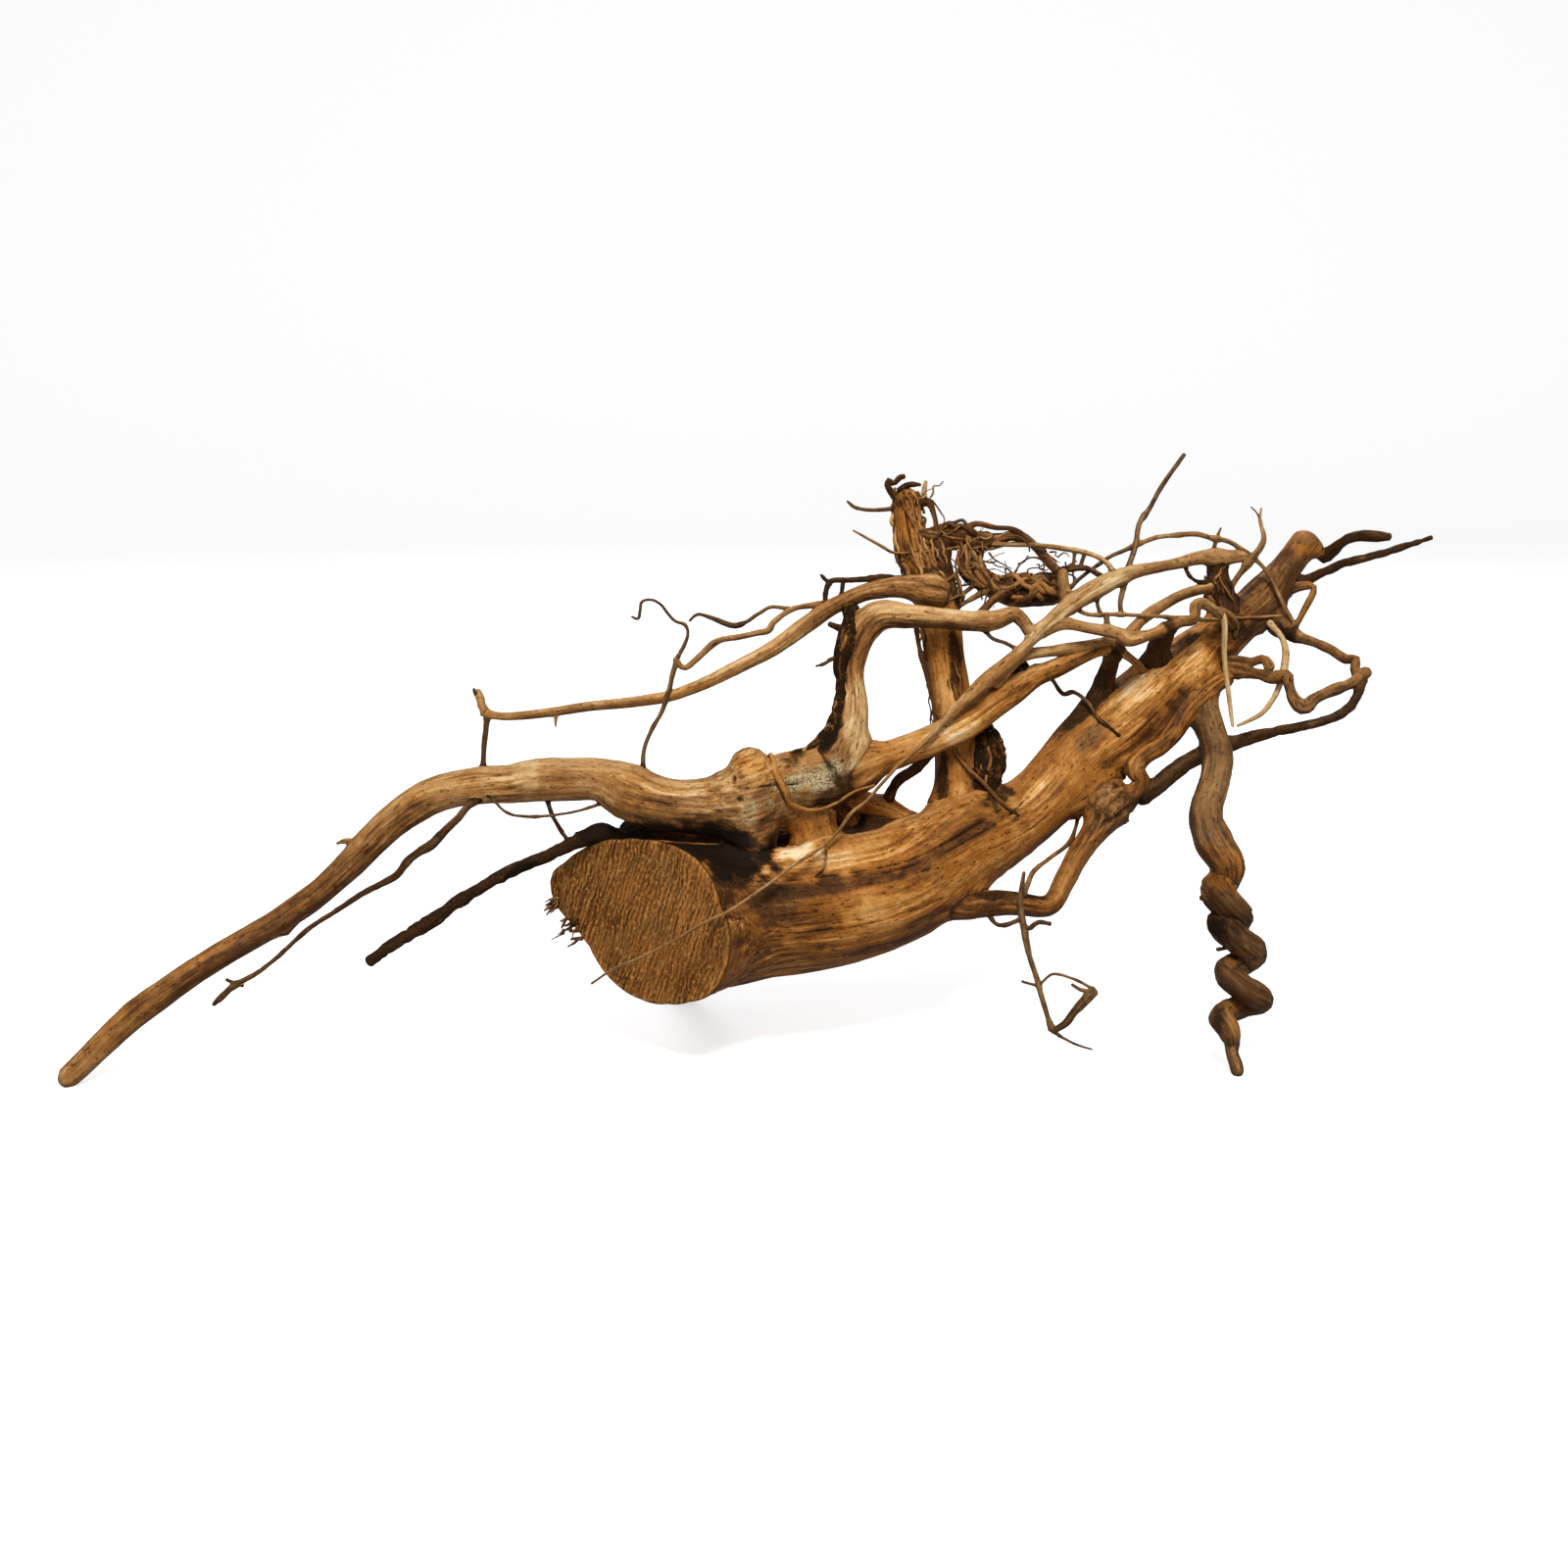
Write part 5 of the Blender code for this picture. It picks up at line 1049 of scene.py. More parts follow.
def laid_out(limb, spacing, seed):
    """Where a limb's rings lie: their middles, radii, lengths along, and two axes across each."""
    look, control = limb.look, limb.control
    if limb.name == "trunk":
        control = np.vstack([placed([(*SAW_FACE_MIDDLE, SAW_RADIUS)]), control[3:]])
    course, along = even_course(control, spacing)
    centres, radius = course[:, :3].copy(), course[:, 3]
    directions = unit(np.gradient(centres, along, axis=0))
    if limb.name == "trunk":
        share = smoothstep(0.0, SAW_TURN_LENGTH, along)[:, None]
        directions = unit(directions * share - SAW_FACE_NORMAL * (1.0 - share))
    sides, tops = carried_frames(centres, directions)
    if look.wander:
        ease = 3.0 * limb.control[:, 3].max()
        hold = smoothstep(0.0, ease, along) * smoothstep(0.0, ease, along[-1] - along)
        spots = spots_along(along, 13.0 * radius.mean(), seed * 0.37)
        shift = look.wander * radius * hold * 0.9
        centres += sides * (shift * fractal(spots, 2, SEED_WANDER))[:, None]
        centres += tops * (shift * fractal(spots + 7.3, 2, SEED_WANDER + 1))[:, None]
    return centres, radius, along, sides, tops


def relief(look, swell, own, mean, thick, shifted, seeded, sizes):
    """How far each point moves outwards in metres: the swelling at joins, lumps, grooves, ridges, fine
    fibres and torn bark. Also returns the ridges, which the tone follows.
    """
    lump = fractal(shifted / (1.5 * mean), 3, SEED_LUMP)
    groove = drawn_out(seeded, 0.10, 0.24 * mean, 3, SEED_GROOVE)
    ridged = 1.0 - 2.0 * np.abs(drawn_out(seeded, 0.07, 0.42 * mean, 2, SEED_RIDGE))
    move = swell + own * look.lump * lump + own * look.groove * (0.8 * groove - 0.5 * ridged)
    if thick:
        move += sizes.fibre_depth * drawn_out(seeded, 0.06, 2.2 * MM, 2, SEED_FINE)
    if look.rough:
        torn = 1.0 - 2.0 * np.abs(fractal(shifted / (8.0 * MM), 4, SEED_TORN))
        move += look.rough * MM * torn
    return move, ridged


def skin_paint(look, shifted, outward, crevice_shade, ridged):
    """Tone, warmth, weathering and dirt of each point, with painted shade and light: darker below and
    in crevices as painted shade, paler on top as painted light.
    """
    paint = np.tile(np.array([look.tone, look.warm, look.weather, look.dirt]), (len(shifted), 1))
    paint[:, 0] += 0.10 * fractal(shifted / (70.0 * MM), 3, SEED_TONE)
    paint[:, 0] -= 0.10 * np.clip(ridged, 0.0, 1.0) ** 4
    # Painted shade in the crevices by other limbs.
    paint[:, 0] -= 0.14 * crevice_shade
    # Painted shade below and painted light on top.
    paint[:, 0] -= 0.11 * smoothstep(0.0, 1.0, -outward[:, 2])
    paint[:, 0] += 0.10 * smoothstep(0.1, 0.9, outward[:, 2])
    paint[:, 1] += 0.18 * fractal(shifted / (55.0 * MM), 3, SEED_WARM)
    paint[:, 2] += 0.10 * smoothstep(0.15, 0.6, fractal(shifted / (60.0 * MM), 3, SEED_WEATHER))
    # Painted shade in the crevices, added to the dirt.
    paint[:, 3] += 0.60 * smoothstep(0.15, 0.95, crevice_shade)
    return paint


def grow(limb, limbs, sizes):
    """The skin of one limb: a profile carried along its course.

    The radius is the course's own, or a host's blended one. Added to it are knots, an oval, the
    swelling at joins, the relief and the named marks.
    """
    look = limb.look
    seed = sum(ord(letter) * (place + 1) for place, letter in enumerate(limb.name)) % 9000
    widest = limb.control[:, 3].max()
    thick = widest > THICK_RADIUS
    spacing = sizes.ring_step if thick else max(0.5 * sizes.ring_step, 0.9 * widest)
    centres, radius, along, sides, tops = laid_out(limb, spacing, seed)
    mean = radius.mean()

    step = sizes.grain_step if thick else THIN_STEP
    turns = int(np.clip(round(2.0 * math.pi * widest / step), LEAST_TURNS, sizes.most_turns))
    turns += turns % 2
    angle = np.arange(turns) * 2.0 * math.pi / turns
    spokes = (np.cos(angle)[None, :, None] * sides[:, None]
              + np.sin(angle)[None, :, None] * tops[:, None])
    knot = np.clip(noise(spots_along(along, 6.0 * mean, seed * 0.11), SEED_KNOT), 0.0, 1.0) ** 2
    swollen = (1.0 + KNOT_SWELL * look.knots * knot)[:, None]
    if limb.name in HOSTS:
        reach = host_radius(centres, spokes, limbs, limb.name) * swollen
    else:
        drift = fractal(spots_along(along, 12.0 * mean, seed * 0.23), 2, SEED_OVAL)
        oval = OVAL_SHARE * np.sin(2.0 * angle[None] + 5.0 * drift[:, None])
        reach = np.repeat(radius[:, None], turns, 1) * swollen * (1.0 + oval)
    cap = np.maximum(round_end(along[-1] - along, radius[-1]), LEAST_CAP)
    if limb.name != "trunk":
        cap = np.minimum(cap, np.maximum(round_end(along, radius[0]), LEAST_CAP))
    reach = reach * cap[:, None]

    points = centres[:, None] + spokes * reach[..., None]
    if limb.name == "trunk":
        rim = centres[0] + spokes[0] * saw_rim_radius(angle, sides[0], tops[0])[:, None]
        lead_from_rim(points, rim, along)
        reach = ((points - centres[:, None]) * spokes).sum(-1)
    points, outward = points.reshape(-1, 3), spokes.reshape(-1, 3)
    swell, crevice_shade = meeting(points, outward, limb, limbs, HOSTS.get(limb.name, ()))
    shifted = points + outward * swell[:, None]
    seeded = seed * 0.013 + np.stack([
        np.repeat(along[:, None], turns, 1),
        reach * np.cos(angle)[None],
        reach * np.sin(angle)[None]], -1).reshape(-1, 3)
    own = np.repeat((radius * cap)[:, None], turns, 1).ravel()
    move, ridged = relief(look, swell, own, mean, thick, shifted, seeded, sizes)
    paint = skin_paint(look, shifted, outward, crevice_shade, ridged)
    if limb.name == "trunk":
        move *= np.repeat(smoothstep(0.0, SAW_FADE_LENGTH, along), turns)
    if thick:
        move += add_marks(limb.name, shifted, outward, paint)
    points = points + outward * move[:, None]
    points[:, 2] = np.maximum(points[:, 2], 0.0)
    skin = Skin(points.reshape(-1, turns, 3), seeded.reshape(-1, turns, 3),
                np.clip(paint, 0.0, 1.0).reshape(-1, turns, 4), 0)
    return add_saw_face(skin, centres[0], sizes) if limb.name == "trunk" else skin


def saw_axes():
    """Two axes in the plane of the saw cut, the first running with the saw's marks."""
    level = unit(np.cross(SAW_FACE_NORMAL, np.array([0.0, 0.0, 1.0])))
    upright = np.cross(level, SAW_FACE_NORMAL)
    run = upright * math.cos(SAW_MARK_TILT) - level * math.sin(SAW_MARK_TILT)
    return run, np.cross(SAW_FACE_NORMAL, run)


def add_saw_face(skin, middle, sizes):
    """The trunk's skin with rings from the middle of the saw cut out to its first ring put before it.

    A ring point is the middle plus a share of the way to the rim. It stands off the plane by noise
    drawn out along the saw's marks, and drops by a small round at the rim.
    """
    count = sizes.saw_rings
    share = np.linspace(0.02, 1.0, count)[:, None, None]
    rim = skin.points[0]
    turns = len(rim)
    flat = (middle + (rim - middle)[None] * share).reshape(-1, 3)
    run, across = saw_axes()
    place = np.stack([(flat - middle) @ run, (flat - middle) @ across, np.zeros(len(flat))], -1)
    marks = drawn_out(place, 0.12, 1.9 * MM, 2, SEED_SAW_MARKS)
    torn = fractal(flat / (7.0 * MM), 3, SEED_SAW_TORN)
    waves = fractal(flat / (40.0 * MM), 2, SEED_SAW_WAVES)
    ring_share = np.repeat(share.ravel(), turns)
    rim_gap = (1.0 - ring_share) * np.linalg.norm(flat - middle, axis=1) / np.maximum(ring_share, 0.02)
    edge = np.clip(1.0 - rim_gap / SAW_RIM_WIDTH, 0.0, 1.0)
    lift = (0.22 * marks + 0.30 * torn * (torn > 0.0) + 0.35 * waves) * MM
    lift = lift * (1.0 - edge) - SAW_RIM_DROP * edge ** 2
    flat = flat + SAW_FACE_NORMAL * lift[:, None]
    tone = 0.5 + 0.25 * fractal(flat / (28.0 * MM), 3, SEED_SAW_TONE)
    x, y = picture_places(flat)
    warm = sum(np.exp(-((x - spot_x) ** 2 + (y - spot_y) ** 2) / (2.0 * size ** 2))
               for spot_x, spot_y, size in SAW_WARM_SPOTS)
    pale_rim = np.exp(-rim_gap / (4.0 * MM)) * (0.35 + 0.65 * smoothstep(690.0, 730.0, x))
    paint = np.column_stack([
        tone, np.clip(warm * 0.55 + 0.2, 0.0, 1.0), pale_rim,
        smoothstep(0.35, 1.0, ring_share) * 0.35])
    skin.points[0] -= SAW_FACE_NORMAL * SAW_RIM_DROP
    joined = [
        np.concatenate([face.reshape(count, turns, -1)[:-1], rings])
        for face, rings in zip((flat, place, np.clip(paint, 0.0, 1.0)), skin)]
    return Skin(*joined, count - 1)


def tube_faces(rings, turns, start):
    """Quads between rings and fans to the two poles, all facing outwards."""
    ring, turn = np.meshgrid(np.arange(rings - 1), np.arange(turns), indexing="ij")
    following = (turn + 1) % turns
    quads = np.stack([
        ring * turns + turn, ring * turns + following,
        (ring + 1) * turns + following, (ring + 1) * turns + turn], -1).reshape(-1, 4)
    turn = np.arange(turns)
    following = (turn + 1) % turns
    first, last = np.full(turns, rings * turns), np.full(turns, rings * turns + 1)
    end = (rings - 1) * turns
    fans = np.concatenate([
        np.stack([first, following, turn], -1), np.stack([last, end + turn, end + following], -1)])
    return quads + start, fans + start


def make_piece(name, skins, materials, context):
    """One mesh object from the skins, with the grain and paint kept on its vertices.

    The faces of a skin's saw rings take the second material.
    """
    points, grains, paints, quads, fans, quad_slots, fan_slots = ([] for _ in range(7))
    start = 0
    for skin in skins:
        rings, turns = skin.points.shape[:2]
        new_quads, new_fans = tube_faces(rings, turns, start)
        for target, value in ((points, skin.points), (grains, skin.grain), (paints, skin.paint)):
            target.append(value.reshape(rings * turns, -1))
            target.append(np.stack([value[0].mean(0), value[-1].mean(0)]))
        quads.append(new_quads)
        fans.append(new_fans)
        quad_slots.append(np.arange(len(new_quads)) < skin.saw_rings * turns)
        fan_slots.append(np.arange(len(new_fans)) < (turns if skin.saw_rings else 0))
        start += rings * turns + 2
    points, grains, paints, quads, fans = (
        np.concatenate(part) for part in (points, grains, paints, quads, fans))
    mesh = bpy.data.meshes.new(name)
    mesh.vertices.add(len(points))
    mesh.vertices.foreach_set("co", points.astype(np.float32).ravel())
    mesh.loops.add(quads.size + fans.size)
    mesh.loops.foreach_set("vertex_index", np.concatenate([quads.ravel(), fans.ravel()]))
    mesh.polygons.add(len(quads) + len(fans))
    starts = np.concatenate([
        np.arange(len(quads)) * 4, quads.size + np.arange(len(fans)) * 3])
    mesh.polygons.foreach_set("loop_start", starts.astype(np.int32))
    slots = np.concatenate(quad_slots + fan_slots)
    mesh.polygons.foreach_set("material_index", slots.astype(np.int32))
    mesh.update(calc_edges=True)
    for label, kind, field, values in (
            ("grain", "FLOAT_VECTOR", "vector", grains), ("paint", "FLOAT_COLOR", "color", paints)):
        kept = mesh.attributes.new(label, kind, "POINT")
        kept.data.foreach_set(field, values.astype(np.float32).ravel())
    mesh.shade_smooth()
    for material in materials:
        mesh.materials.append(material)
    piece = bpy.data.objects.new(name, mesh)
    context.scene.collection.objects.link(piece)
    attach(piece, "root")
    return piece


def add_node(tree, kind, inputs=None, **settings):
    """A new node with its settings made, and each input linked to a socket or set to a value."""
    made = tree.nodes.new(kind)
    for name, value in settings.items():
        setattr(made, name, value)
    for key, value in (inputs or {}).items():
        if isinstance(value, bpy.types.NodeSocket):
            tree.links.new(value, made.inputs[key])
        else:
            made.inputs[key].default_value = value
    return made


def math_of(tree, operation, first, second=0.0, third=0.0, clamp=False):
    """The result of one Math node."""
    made = add_node(tree, "ShaderNodeMath", {0: first, 1: second, 2: third},
                    operation=operation, use_clamp=clamp)
    return made.outputs[0]


def times(tree, first, second):
    """The product of two values."""
    return math_of(tree, "MULTIPLY", first, second)


def centred(tree, mark):
    """A mark from 0 to 1 moved to run from -0.5 to 0.5."""
    return math_of(tree, "SUBTRACT", mark, 0.5)


def sum_of(tree, total, *rows, clamp=False):
    """The total plus each mark times its strength; with clamp, the result is held from 0 to 1."""
    for place, (mark, strength) in enumerate(rows):
        total = math_of(tree, "MULTIPLY_ADD", mark, strength, total,
                        clamp=clamp and place == len(rows) - 1)
    return total


def blend_of(tree, share, first, second):
    """The result of one Mix Color node, from the first colour to the second."""
    first, second = (
        color if isinstance(color, bpy.types.NodeSocket) else (*color[:3], 1.0)
        for color in (first, second))
    made = add_node(tree, "ShaderNodeMix", {0: share, 6: first, 7: second}, data_type="RGBA")
    return made.outputs[2]


def step_of(tree, value, low, high):
    """0 below low and 1 above high, with a smooth step between."""
    made = add_node(tree, "ShaderNodeMapRange", {0: value, 1: low, 2: high, 3: 0.0, 4: 1.0},
                    interpolation_type="SMOOTHSTEP")
    return made.outputs[0]


def noise_of(tree, place, scale, detail, roughness=0.5, distortion=0.0):
    """Noise from 0 to 1 on a place scaled by one number per metre, or by one for each axis."""
    if not isinstance(scale, tuple):
        scale = (scale, scale, scale)
    scaled = add_node(tree, "ShaderNodeVectorMath", {0: place, 1: scale}, operation="MULTIPLY")
    made = add_node(tree, "ShaderNodeTexNoise", {
        "Vector": scaled.outputs[0], "Scale": 1.0, "Detail": detail, "Roughness": roughness,
        "Distortion": distortion})
    return made.outputs["Fac"]


def ramp_of(tree, factor, colors):
    """A colour ramp with its colours at even places from 0 to 1."""
    made = add_node(tree, "ShaderNodeValToRGB", {0: factor})
    stops = made.color_ramp.elements
    for place, color in enumerate(colors):
        position = place / (len(colors) - 1)
        if 0 < place < len(colors) - 1:
            stop = stops.new(position)
        else:
            stop = stops[0 if place == 0 else -1]
        stop.position = position
        stop.color = (*color, 1.0)
    return made.outputs[0]


def new_group(name, inputs, outputs):
    """An empty shader node group with named sockets, and the sockets of its input and output nodes."""
    tree = bpy.data.node_groups.new(name, "ShaderNodeTree")
    for label, kind, default in inputs:
        socket = tree.interface.new_socket(label, in_out="INPUT", socket_type="NodeSocket" + kind)
        socket.default_value = default
    for label in outputs:
        tree.interface.new_socket(label, in_out="OUTPUT", socket_type="NodeSocketFloat")
    return tree, tree.nodes.new("NodeGroupInput").outputs, tree.nodes.new("NodeGroupOutput").inputs


def grain_group():
    """Marks that run with the grain: streaks, fibres, lines, stains and short dark pores.

    Each is noise on the place in the grain, whose first number runs along the limb. The scale along is
    far less than the scale across, so every mark is drawn out lengthwise, the pores least.
    """
    tree, given, result = new_group(
        "Grain of the wood", (("Place", "Vector", (0.0, 0.0, 0.0)), ("Fineness", "Float", 1.0)),
        ("Streaks", "Fibres", "Pores", "Stains", "Lines"))
    place = add_node(tree, "ShaderNodeVectorMath", {0: given["Place"], "Scale": given["Fineness"]},
                     operation="SCALE").outputs[0]
    flecks = noise_of(tree, place, (170.0, 560.0, 560.0), 2.0)
    stains = noise_of(tree, place, (6.0, 95.0, 95.0), 5.0, 0.70, 0.8)
    for label, mark in (
            ("Streaks", noise_of(tree, place, (7.0, 85.0, 85.0), 4.0, 0.6, 0.6)),
            ("Fibres", noise_of(tree, place, (30.0, 480.0, 480.0), 3.0, 0.65, 0.2)),
            ("Lines", noise_of(tree, place, (9.0, 230.0, 230.0), 3.0, 0.6, 0.3)),
            ("Pores", step_of(tree, flecks, 0.63, 0.71)),
            ("Stains", step_of(tree, stains, 0.50, 0.70))):
        tree.links.new(mark, result[label])
    return tree


def grime_and_shade_group():
    """Dirt with painted shade, and weathering: each mask is its kept share, worn through by noise on
    the object's place.
    """
    tree, given, result = new_group(
        "Crust and weather", (
            ("Position", "Vector", (0.0, 0.0, 0.0)), ("Dirt", "Float", 0.0), ("Weather", "Float", 0.0)),
        ("Dirt Mask", "Weather Mask", "Grit"))
    coarse = noise_of(tree, given["Position"], 70.0, 5.0, 0.62, 0.4)
    grit = noise_of(tree, given["Position"], 520.0, 3.0, 0.6)
    worn = sum_of(tree, given["Dirt"], (centred(tree, coarse), 1.7), (centred(tree, grit), 0.6))
    tree.links.new(step_of(tree, worn, 0.30, 0.78), result["Dirt Mask"])
    smooth = math_of(tree, "SUBTRACT", 0.5, coarse)
    skin = sum_of(tree, given["Weather"], (smooth, 1.4), (centred(tree, grit), 0.9))
    skin = times(tree, skin, step_of(tree, given["Weather"], 0.06, 0.22))
    tree.links.new(step_of(tree, skin, 0.28, 0.72), result["Weather Mask"])
    tree.links.new(grit, result["Grit"])
    return tree


def place_group(tree, group, inputs):
    """A group node in a material, with its inputs linked or set, giving its outputs by name."""
    return add_node(tree, "ShaderNodeGroup", inputs, node_tree=group).outputs


def shaded(color, share):
    """The colour times the share."""
    return tuple(channel * share for channel in color)


def start_material(name, gloss):
    """A material with a Principled shader, and the sockets that every wood material reads.

    The sockets are the place in the grain, the four paint values and the object's own place.
    """
    material = bpy.data.materials.new(name)
    material.use_nodes = True
    tree = material.node_tree
    tree.nodes.clear()
    shader = add_node(tree, "ShaderNodeBsdfPrincipled", {
        "Specular IOR Level": gloss, "Specular Tint": (1.0, 0.80, 0.55, 1.0)})
    add_node(tree, "ShaderNodeOutputMaterial", {0: shader.outputs[0]})
    grain = add_node(tree, "ShaderNodeAttribute", attribute_name="grain").outputs["Vector"]
    paint = add_node(tree, "ShaderNodeAttribute", attribute_name="paint").outputs
    parts = add_node(tree, "ShaderNodeSeparateColor", {0: paint["Color"]}).outputs
    position = tree.nodes.new("ShaderNodeTexCoord").outputs["Object"]
    return material, tree, shader, grain, (*parts, paint["Alpha"]), position


def finish_surface(tree, shader, color, roughness, height, distance):
    """Colour, roughness and a bump of the given depth in metres, put on the shader."""
    tree.links.new(color, shader.inputs["Base Color"])
    tree.links.new(roughness, shader.inputs["Roughness"])
    bump = add_node(tree, "ShaderNodeBump", {"Height": height, "Distance": distance, "Strength": 1.0})
    tree.links.new(bump.outputs[0], shader.inputs["Normal"])


def wood_material(colors, grain_tree, grime_and_shade_tree):
    """Bare, weathered limb wood.

    One factor, made of the kept tone and all the marks of the grain, picks the colour from an amber and
    an ashen ramp. The kept warmth leans between the two. Weathered skin and soil then cover it; the
    soil follows the dirt, which also holds painted shade, and where that is highest the colour turns
    near-black, mostly painted shade.
    """
    material, tree, shader, grain, paint, position = start_material("Bare weathered wood", 0.14)
    tone, warm, weather, dirt = paint
    marks = place_group(tree, grain_tree, {"Place": grain, "Fineness": 1.0})
    crust = place_group(tree, grime_and_shade_tree, {"Position": position, "Dirt": dirt, "Weather": weather})
    cloud = noise_of(tree, position, 26.0, 4.0, 0.6, 0.5)
    flecks = noise_of(tree, position, 760.0, 2.0, 0.6)
    patchy = noise_of(tree, grain, (14.0, 34.0, 34.0), 2.0)
    mottle = noise_of(tree, grain, (120.0, 190.0, 190.0), 4.0, 0.72, 0.4)
    strong = sum_of(tree, 0.18, (step_of(tree, patchy, 0.42, 0.62), 0.75))
    lines = sum_of(tree, centred(tree, marks["Lines"]), (centred(tree, marks["Fibres"]), 1.0))
    factor = sum_of(
        tree, tone, (centred(tree, marks["Streaks"]), 0.40), (lines, strong),
        (centred(tree, mottle), 0.40), (step_of(tree, flecks, 0.60, 0.70), -0.16),
        (centred(tree, cloud), 0.40), (marks["Stains"], -0.10), (marks["Pores"], -0.26), clamp=True)
    amber = ramp_of(tree, factor, (
        shaded(colors.dark_wood, 0.35), colors.dark_wood, colors.amber_wood, colors.light_wood,
        colors.pale_wood))
    ashen = ramp_of(tree, factor, (
        shaded(colors.dark_wood, 0.5), colors.grey_dark_wood, colors.grey_wood,
        colors.grey_light_wood, colors.pale_wood))
    leaning = sum_of(tree, warm, (centred(tree, cloud), -0.7), clamp=True)
    color = blend_of(tree, leaning, ashen, amber)
    skin = blend_of(tree, step_of(tree, flecks, 0.42, 0.54), shaded(colors.weathered, 0.12),
                    shaded(colors.weathered, LIGHTER))
    color = blend_of(tree, times(tree, crust["Weather Mask"], 0.70), color, skin)
    # Soil over dirt and painted shade; the near-black past 0.82 is mostly painted shade.
    soil = blend_of(tree, step_of(tree, crust["Grit"], 0.46, 0.72), shaded(colors.crust, 0.6),
                    shaded(colors.dark_wood, 0.8))
    color = blend_of(tree, times(tree, crust["Dirt Mask"], 0.92), color, soil)
    color = blend_of(tree, step_of(tree, dirt, 0.82, 1.0), color, shaded(colors.crust, 0.35))
    rough = sum_of(tree, 0.42, (crust["Dirt Mask"], 0.25), (crust["Weather Mask"], 0.20),
                   (marks["Fibres"], 0.14), clamp=True)
    height = sum_of(tree, times(tree, marks["Pores"], -0.6), (marks["Fibres"], 0.55),
                    (marks["Lines"], 0.7), (crust["Grit"], 0.45))
    finish_surface(tree, shader, color, rough, height, 1.1 * MM)
    return material


def saw_material(colors, grain_tree, grime_and_shade_tree):
    """The sawn face: hatching of the saw, pale torn specks, faint rings and damp spots."""
    material, tree, shader, grain, paint, position = start_material("Saw cut end grain", 0.06)
    tone, warm, rim, dirt = paint
    crust = place_group(tree, grime_and_shade_tree, {"Position": position, "Dirt": dirt, "Weather": 0.0})
    marks = place_group(tree, grain_tree, {"Place": grain, "Fineness": 0.75})
    across = add_node(tree, "ShaderNodeSeparateXYZ", {0: grain}).outputs["Y"]
    bent = noise_of(tree, grain, 26.0, 3.0)
    hatch = math_of(tree, "SINE", sum_of(tree, times(tree, bent, 34.0), (across, 1500.0)))
    from_heart = add_node(tree, "ShaderNodeVectorMath", {0: grain, 1: (-0.028, 0.012, 0.0)},
                          operation="DISTANCE").outputs["Value"]
    drift = noise_of(tree, grain, 45.0, 2.0)
    rings = math_of(tree, "SINE", sum_of(tree, times(tree, drift, 9.0), (from_heart, 1250.0)))
    specks = noise_of(tree, grain, (230.0, 380.0, 380.0), 3.0, 0.7)
    speck = step_of(tree, specks, 0.54, 0.66)
    gaps = step_of(tree, specks, 0.46, 0.34)
    factor = sum_of(
        tree, 0.36, (centred(tree, tone), 0.8), (centred(tree, marks["Fibres"]), 1.7),
        (centred(tree, marks["Streaks"]), 0.25), (rings, 0.04), (hatch, 0.15), (speck, 0.70),
        (gaps, -0.40), (rim, 0.42), clamp=True)
    brown = ramp_of(tree, factor, (
        shaded(colors.dark_wood, 0.6), shaded(colors.saw_cut, 0.45), colors.saw_cut,
        shaded(colors.saw_cut, LIGHTER), colors.light_wood))
    color = blend_of(tree, times(tree, warm, 0.30), brown, colors.amber_wood)
    damp = noise_of(tree, grain, 30.0, 3.0, 0.6)
    color = blend_of(tree, times(tree, step_of(tree, damp, 0.50, 0.68), 0.30), color,
                     shaded(colors.grey_wood, 0.75))
    soil = blend_of(tree, crust["Grit"], shaded(colors.crust, 0.4), colors.crust)
    color = blend_of(tree, times(tree, crust["Dirt Mask"], 0.8), color, soil)
    rough = sum_of(tree, 0.68, (marks["Fibres"], 0.15))
    height = sum_of(tree, times(tree, speck, 0.5), (marks["Fibres"], 0.8), (hatch, 0.35))
    finish_surface(tree, shader, color, rough, height, 0.9 * MM)
    return material


def bark_material(colors, grain_tree, grime_and_shade_tree):
    """Dark bark that still clings on: black-brown ridges with reddish fissures and pale chips."""
    material, tree, shader, grain, paint, position = start_material("Clinging bark", 0.06)
    weather, dirt = paint[2:]
    marks = place_group(tree, grain_tree, {"Place": grain, "Fineness": 0.8})
    crust = place_group(tree, grime_and_shade_tree, {"Position": position, "Dirt": dirt, "Weather": weather})
    cracked = noise_of(tree, position, (190.0, 190.0, 120.0), 4.0, 0.7, 1.2)
    red = blend_of(tree, crust["Grit"], shaded(colors.dark_wood, 0.7), shaded(colors.amber_wood, 0.75))
    black = blend_of(tree, marks["Fibres"], shaded(colors.crust, 0.25), shaded(colors.crust, 1.3))
    color = blend_of(tree, step_of(tree, cracked, 0.52, 0.66), black, red)
    chips = step_of(tree, noise_of(tree, position, 240.0, 3.0, 0.6), 0.66, 0.76)
    color = blend_of(tree, times(tree, chips, 0.6), color, colors.grey_light_wood)
    rough = sum_of(tree, 0.80, (marks["Fibres"], 0.12))
    height = sum_of(tree, times(tree, crust["Grit"], 0.5), (cracked, 0.9))
    finish_surface(tree, shader, color, rough, height, 1.4 * MM)
    return material


kept_materials = {}


def wood_materials(colors):
    """The three materials of the piece, made on the first call: bare wood, saw cut, bark."""
    if not kept_materials:
        grain_tree, grime_and_shade_tree = grain_group(), grime_and_shade_group()
        kept_materials["bare"] = wood_material(colors, grain_tree, grime_and_shade_tree)
        kept_materials["sawn"] = saw_material(colors, grain_tree, grime_and_shade_tree)
        kept_materials["bark"] = bark_material(colors, grain_tree, grime_and_shade_tree)
    return kept_materials


kept_limbs = {}


def limbs_once():
    """All limbs, worked out on the first call."""
    if not kept_limbs:
        kept_limbs.update(all_limbs())
    return kept_limbs


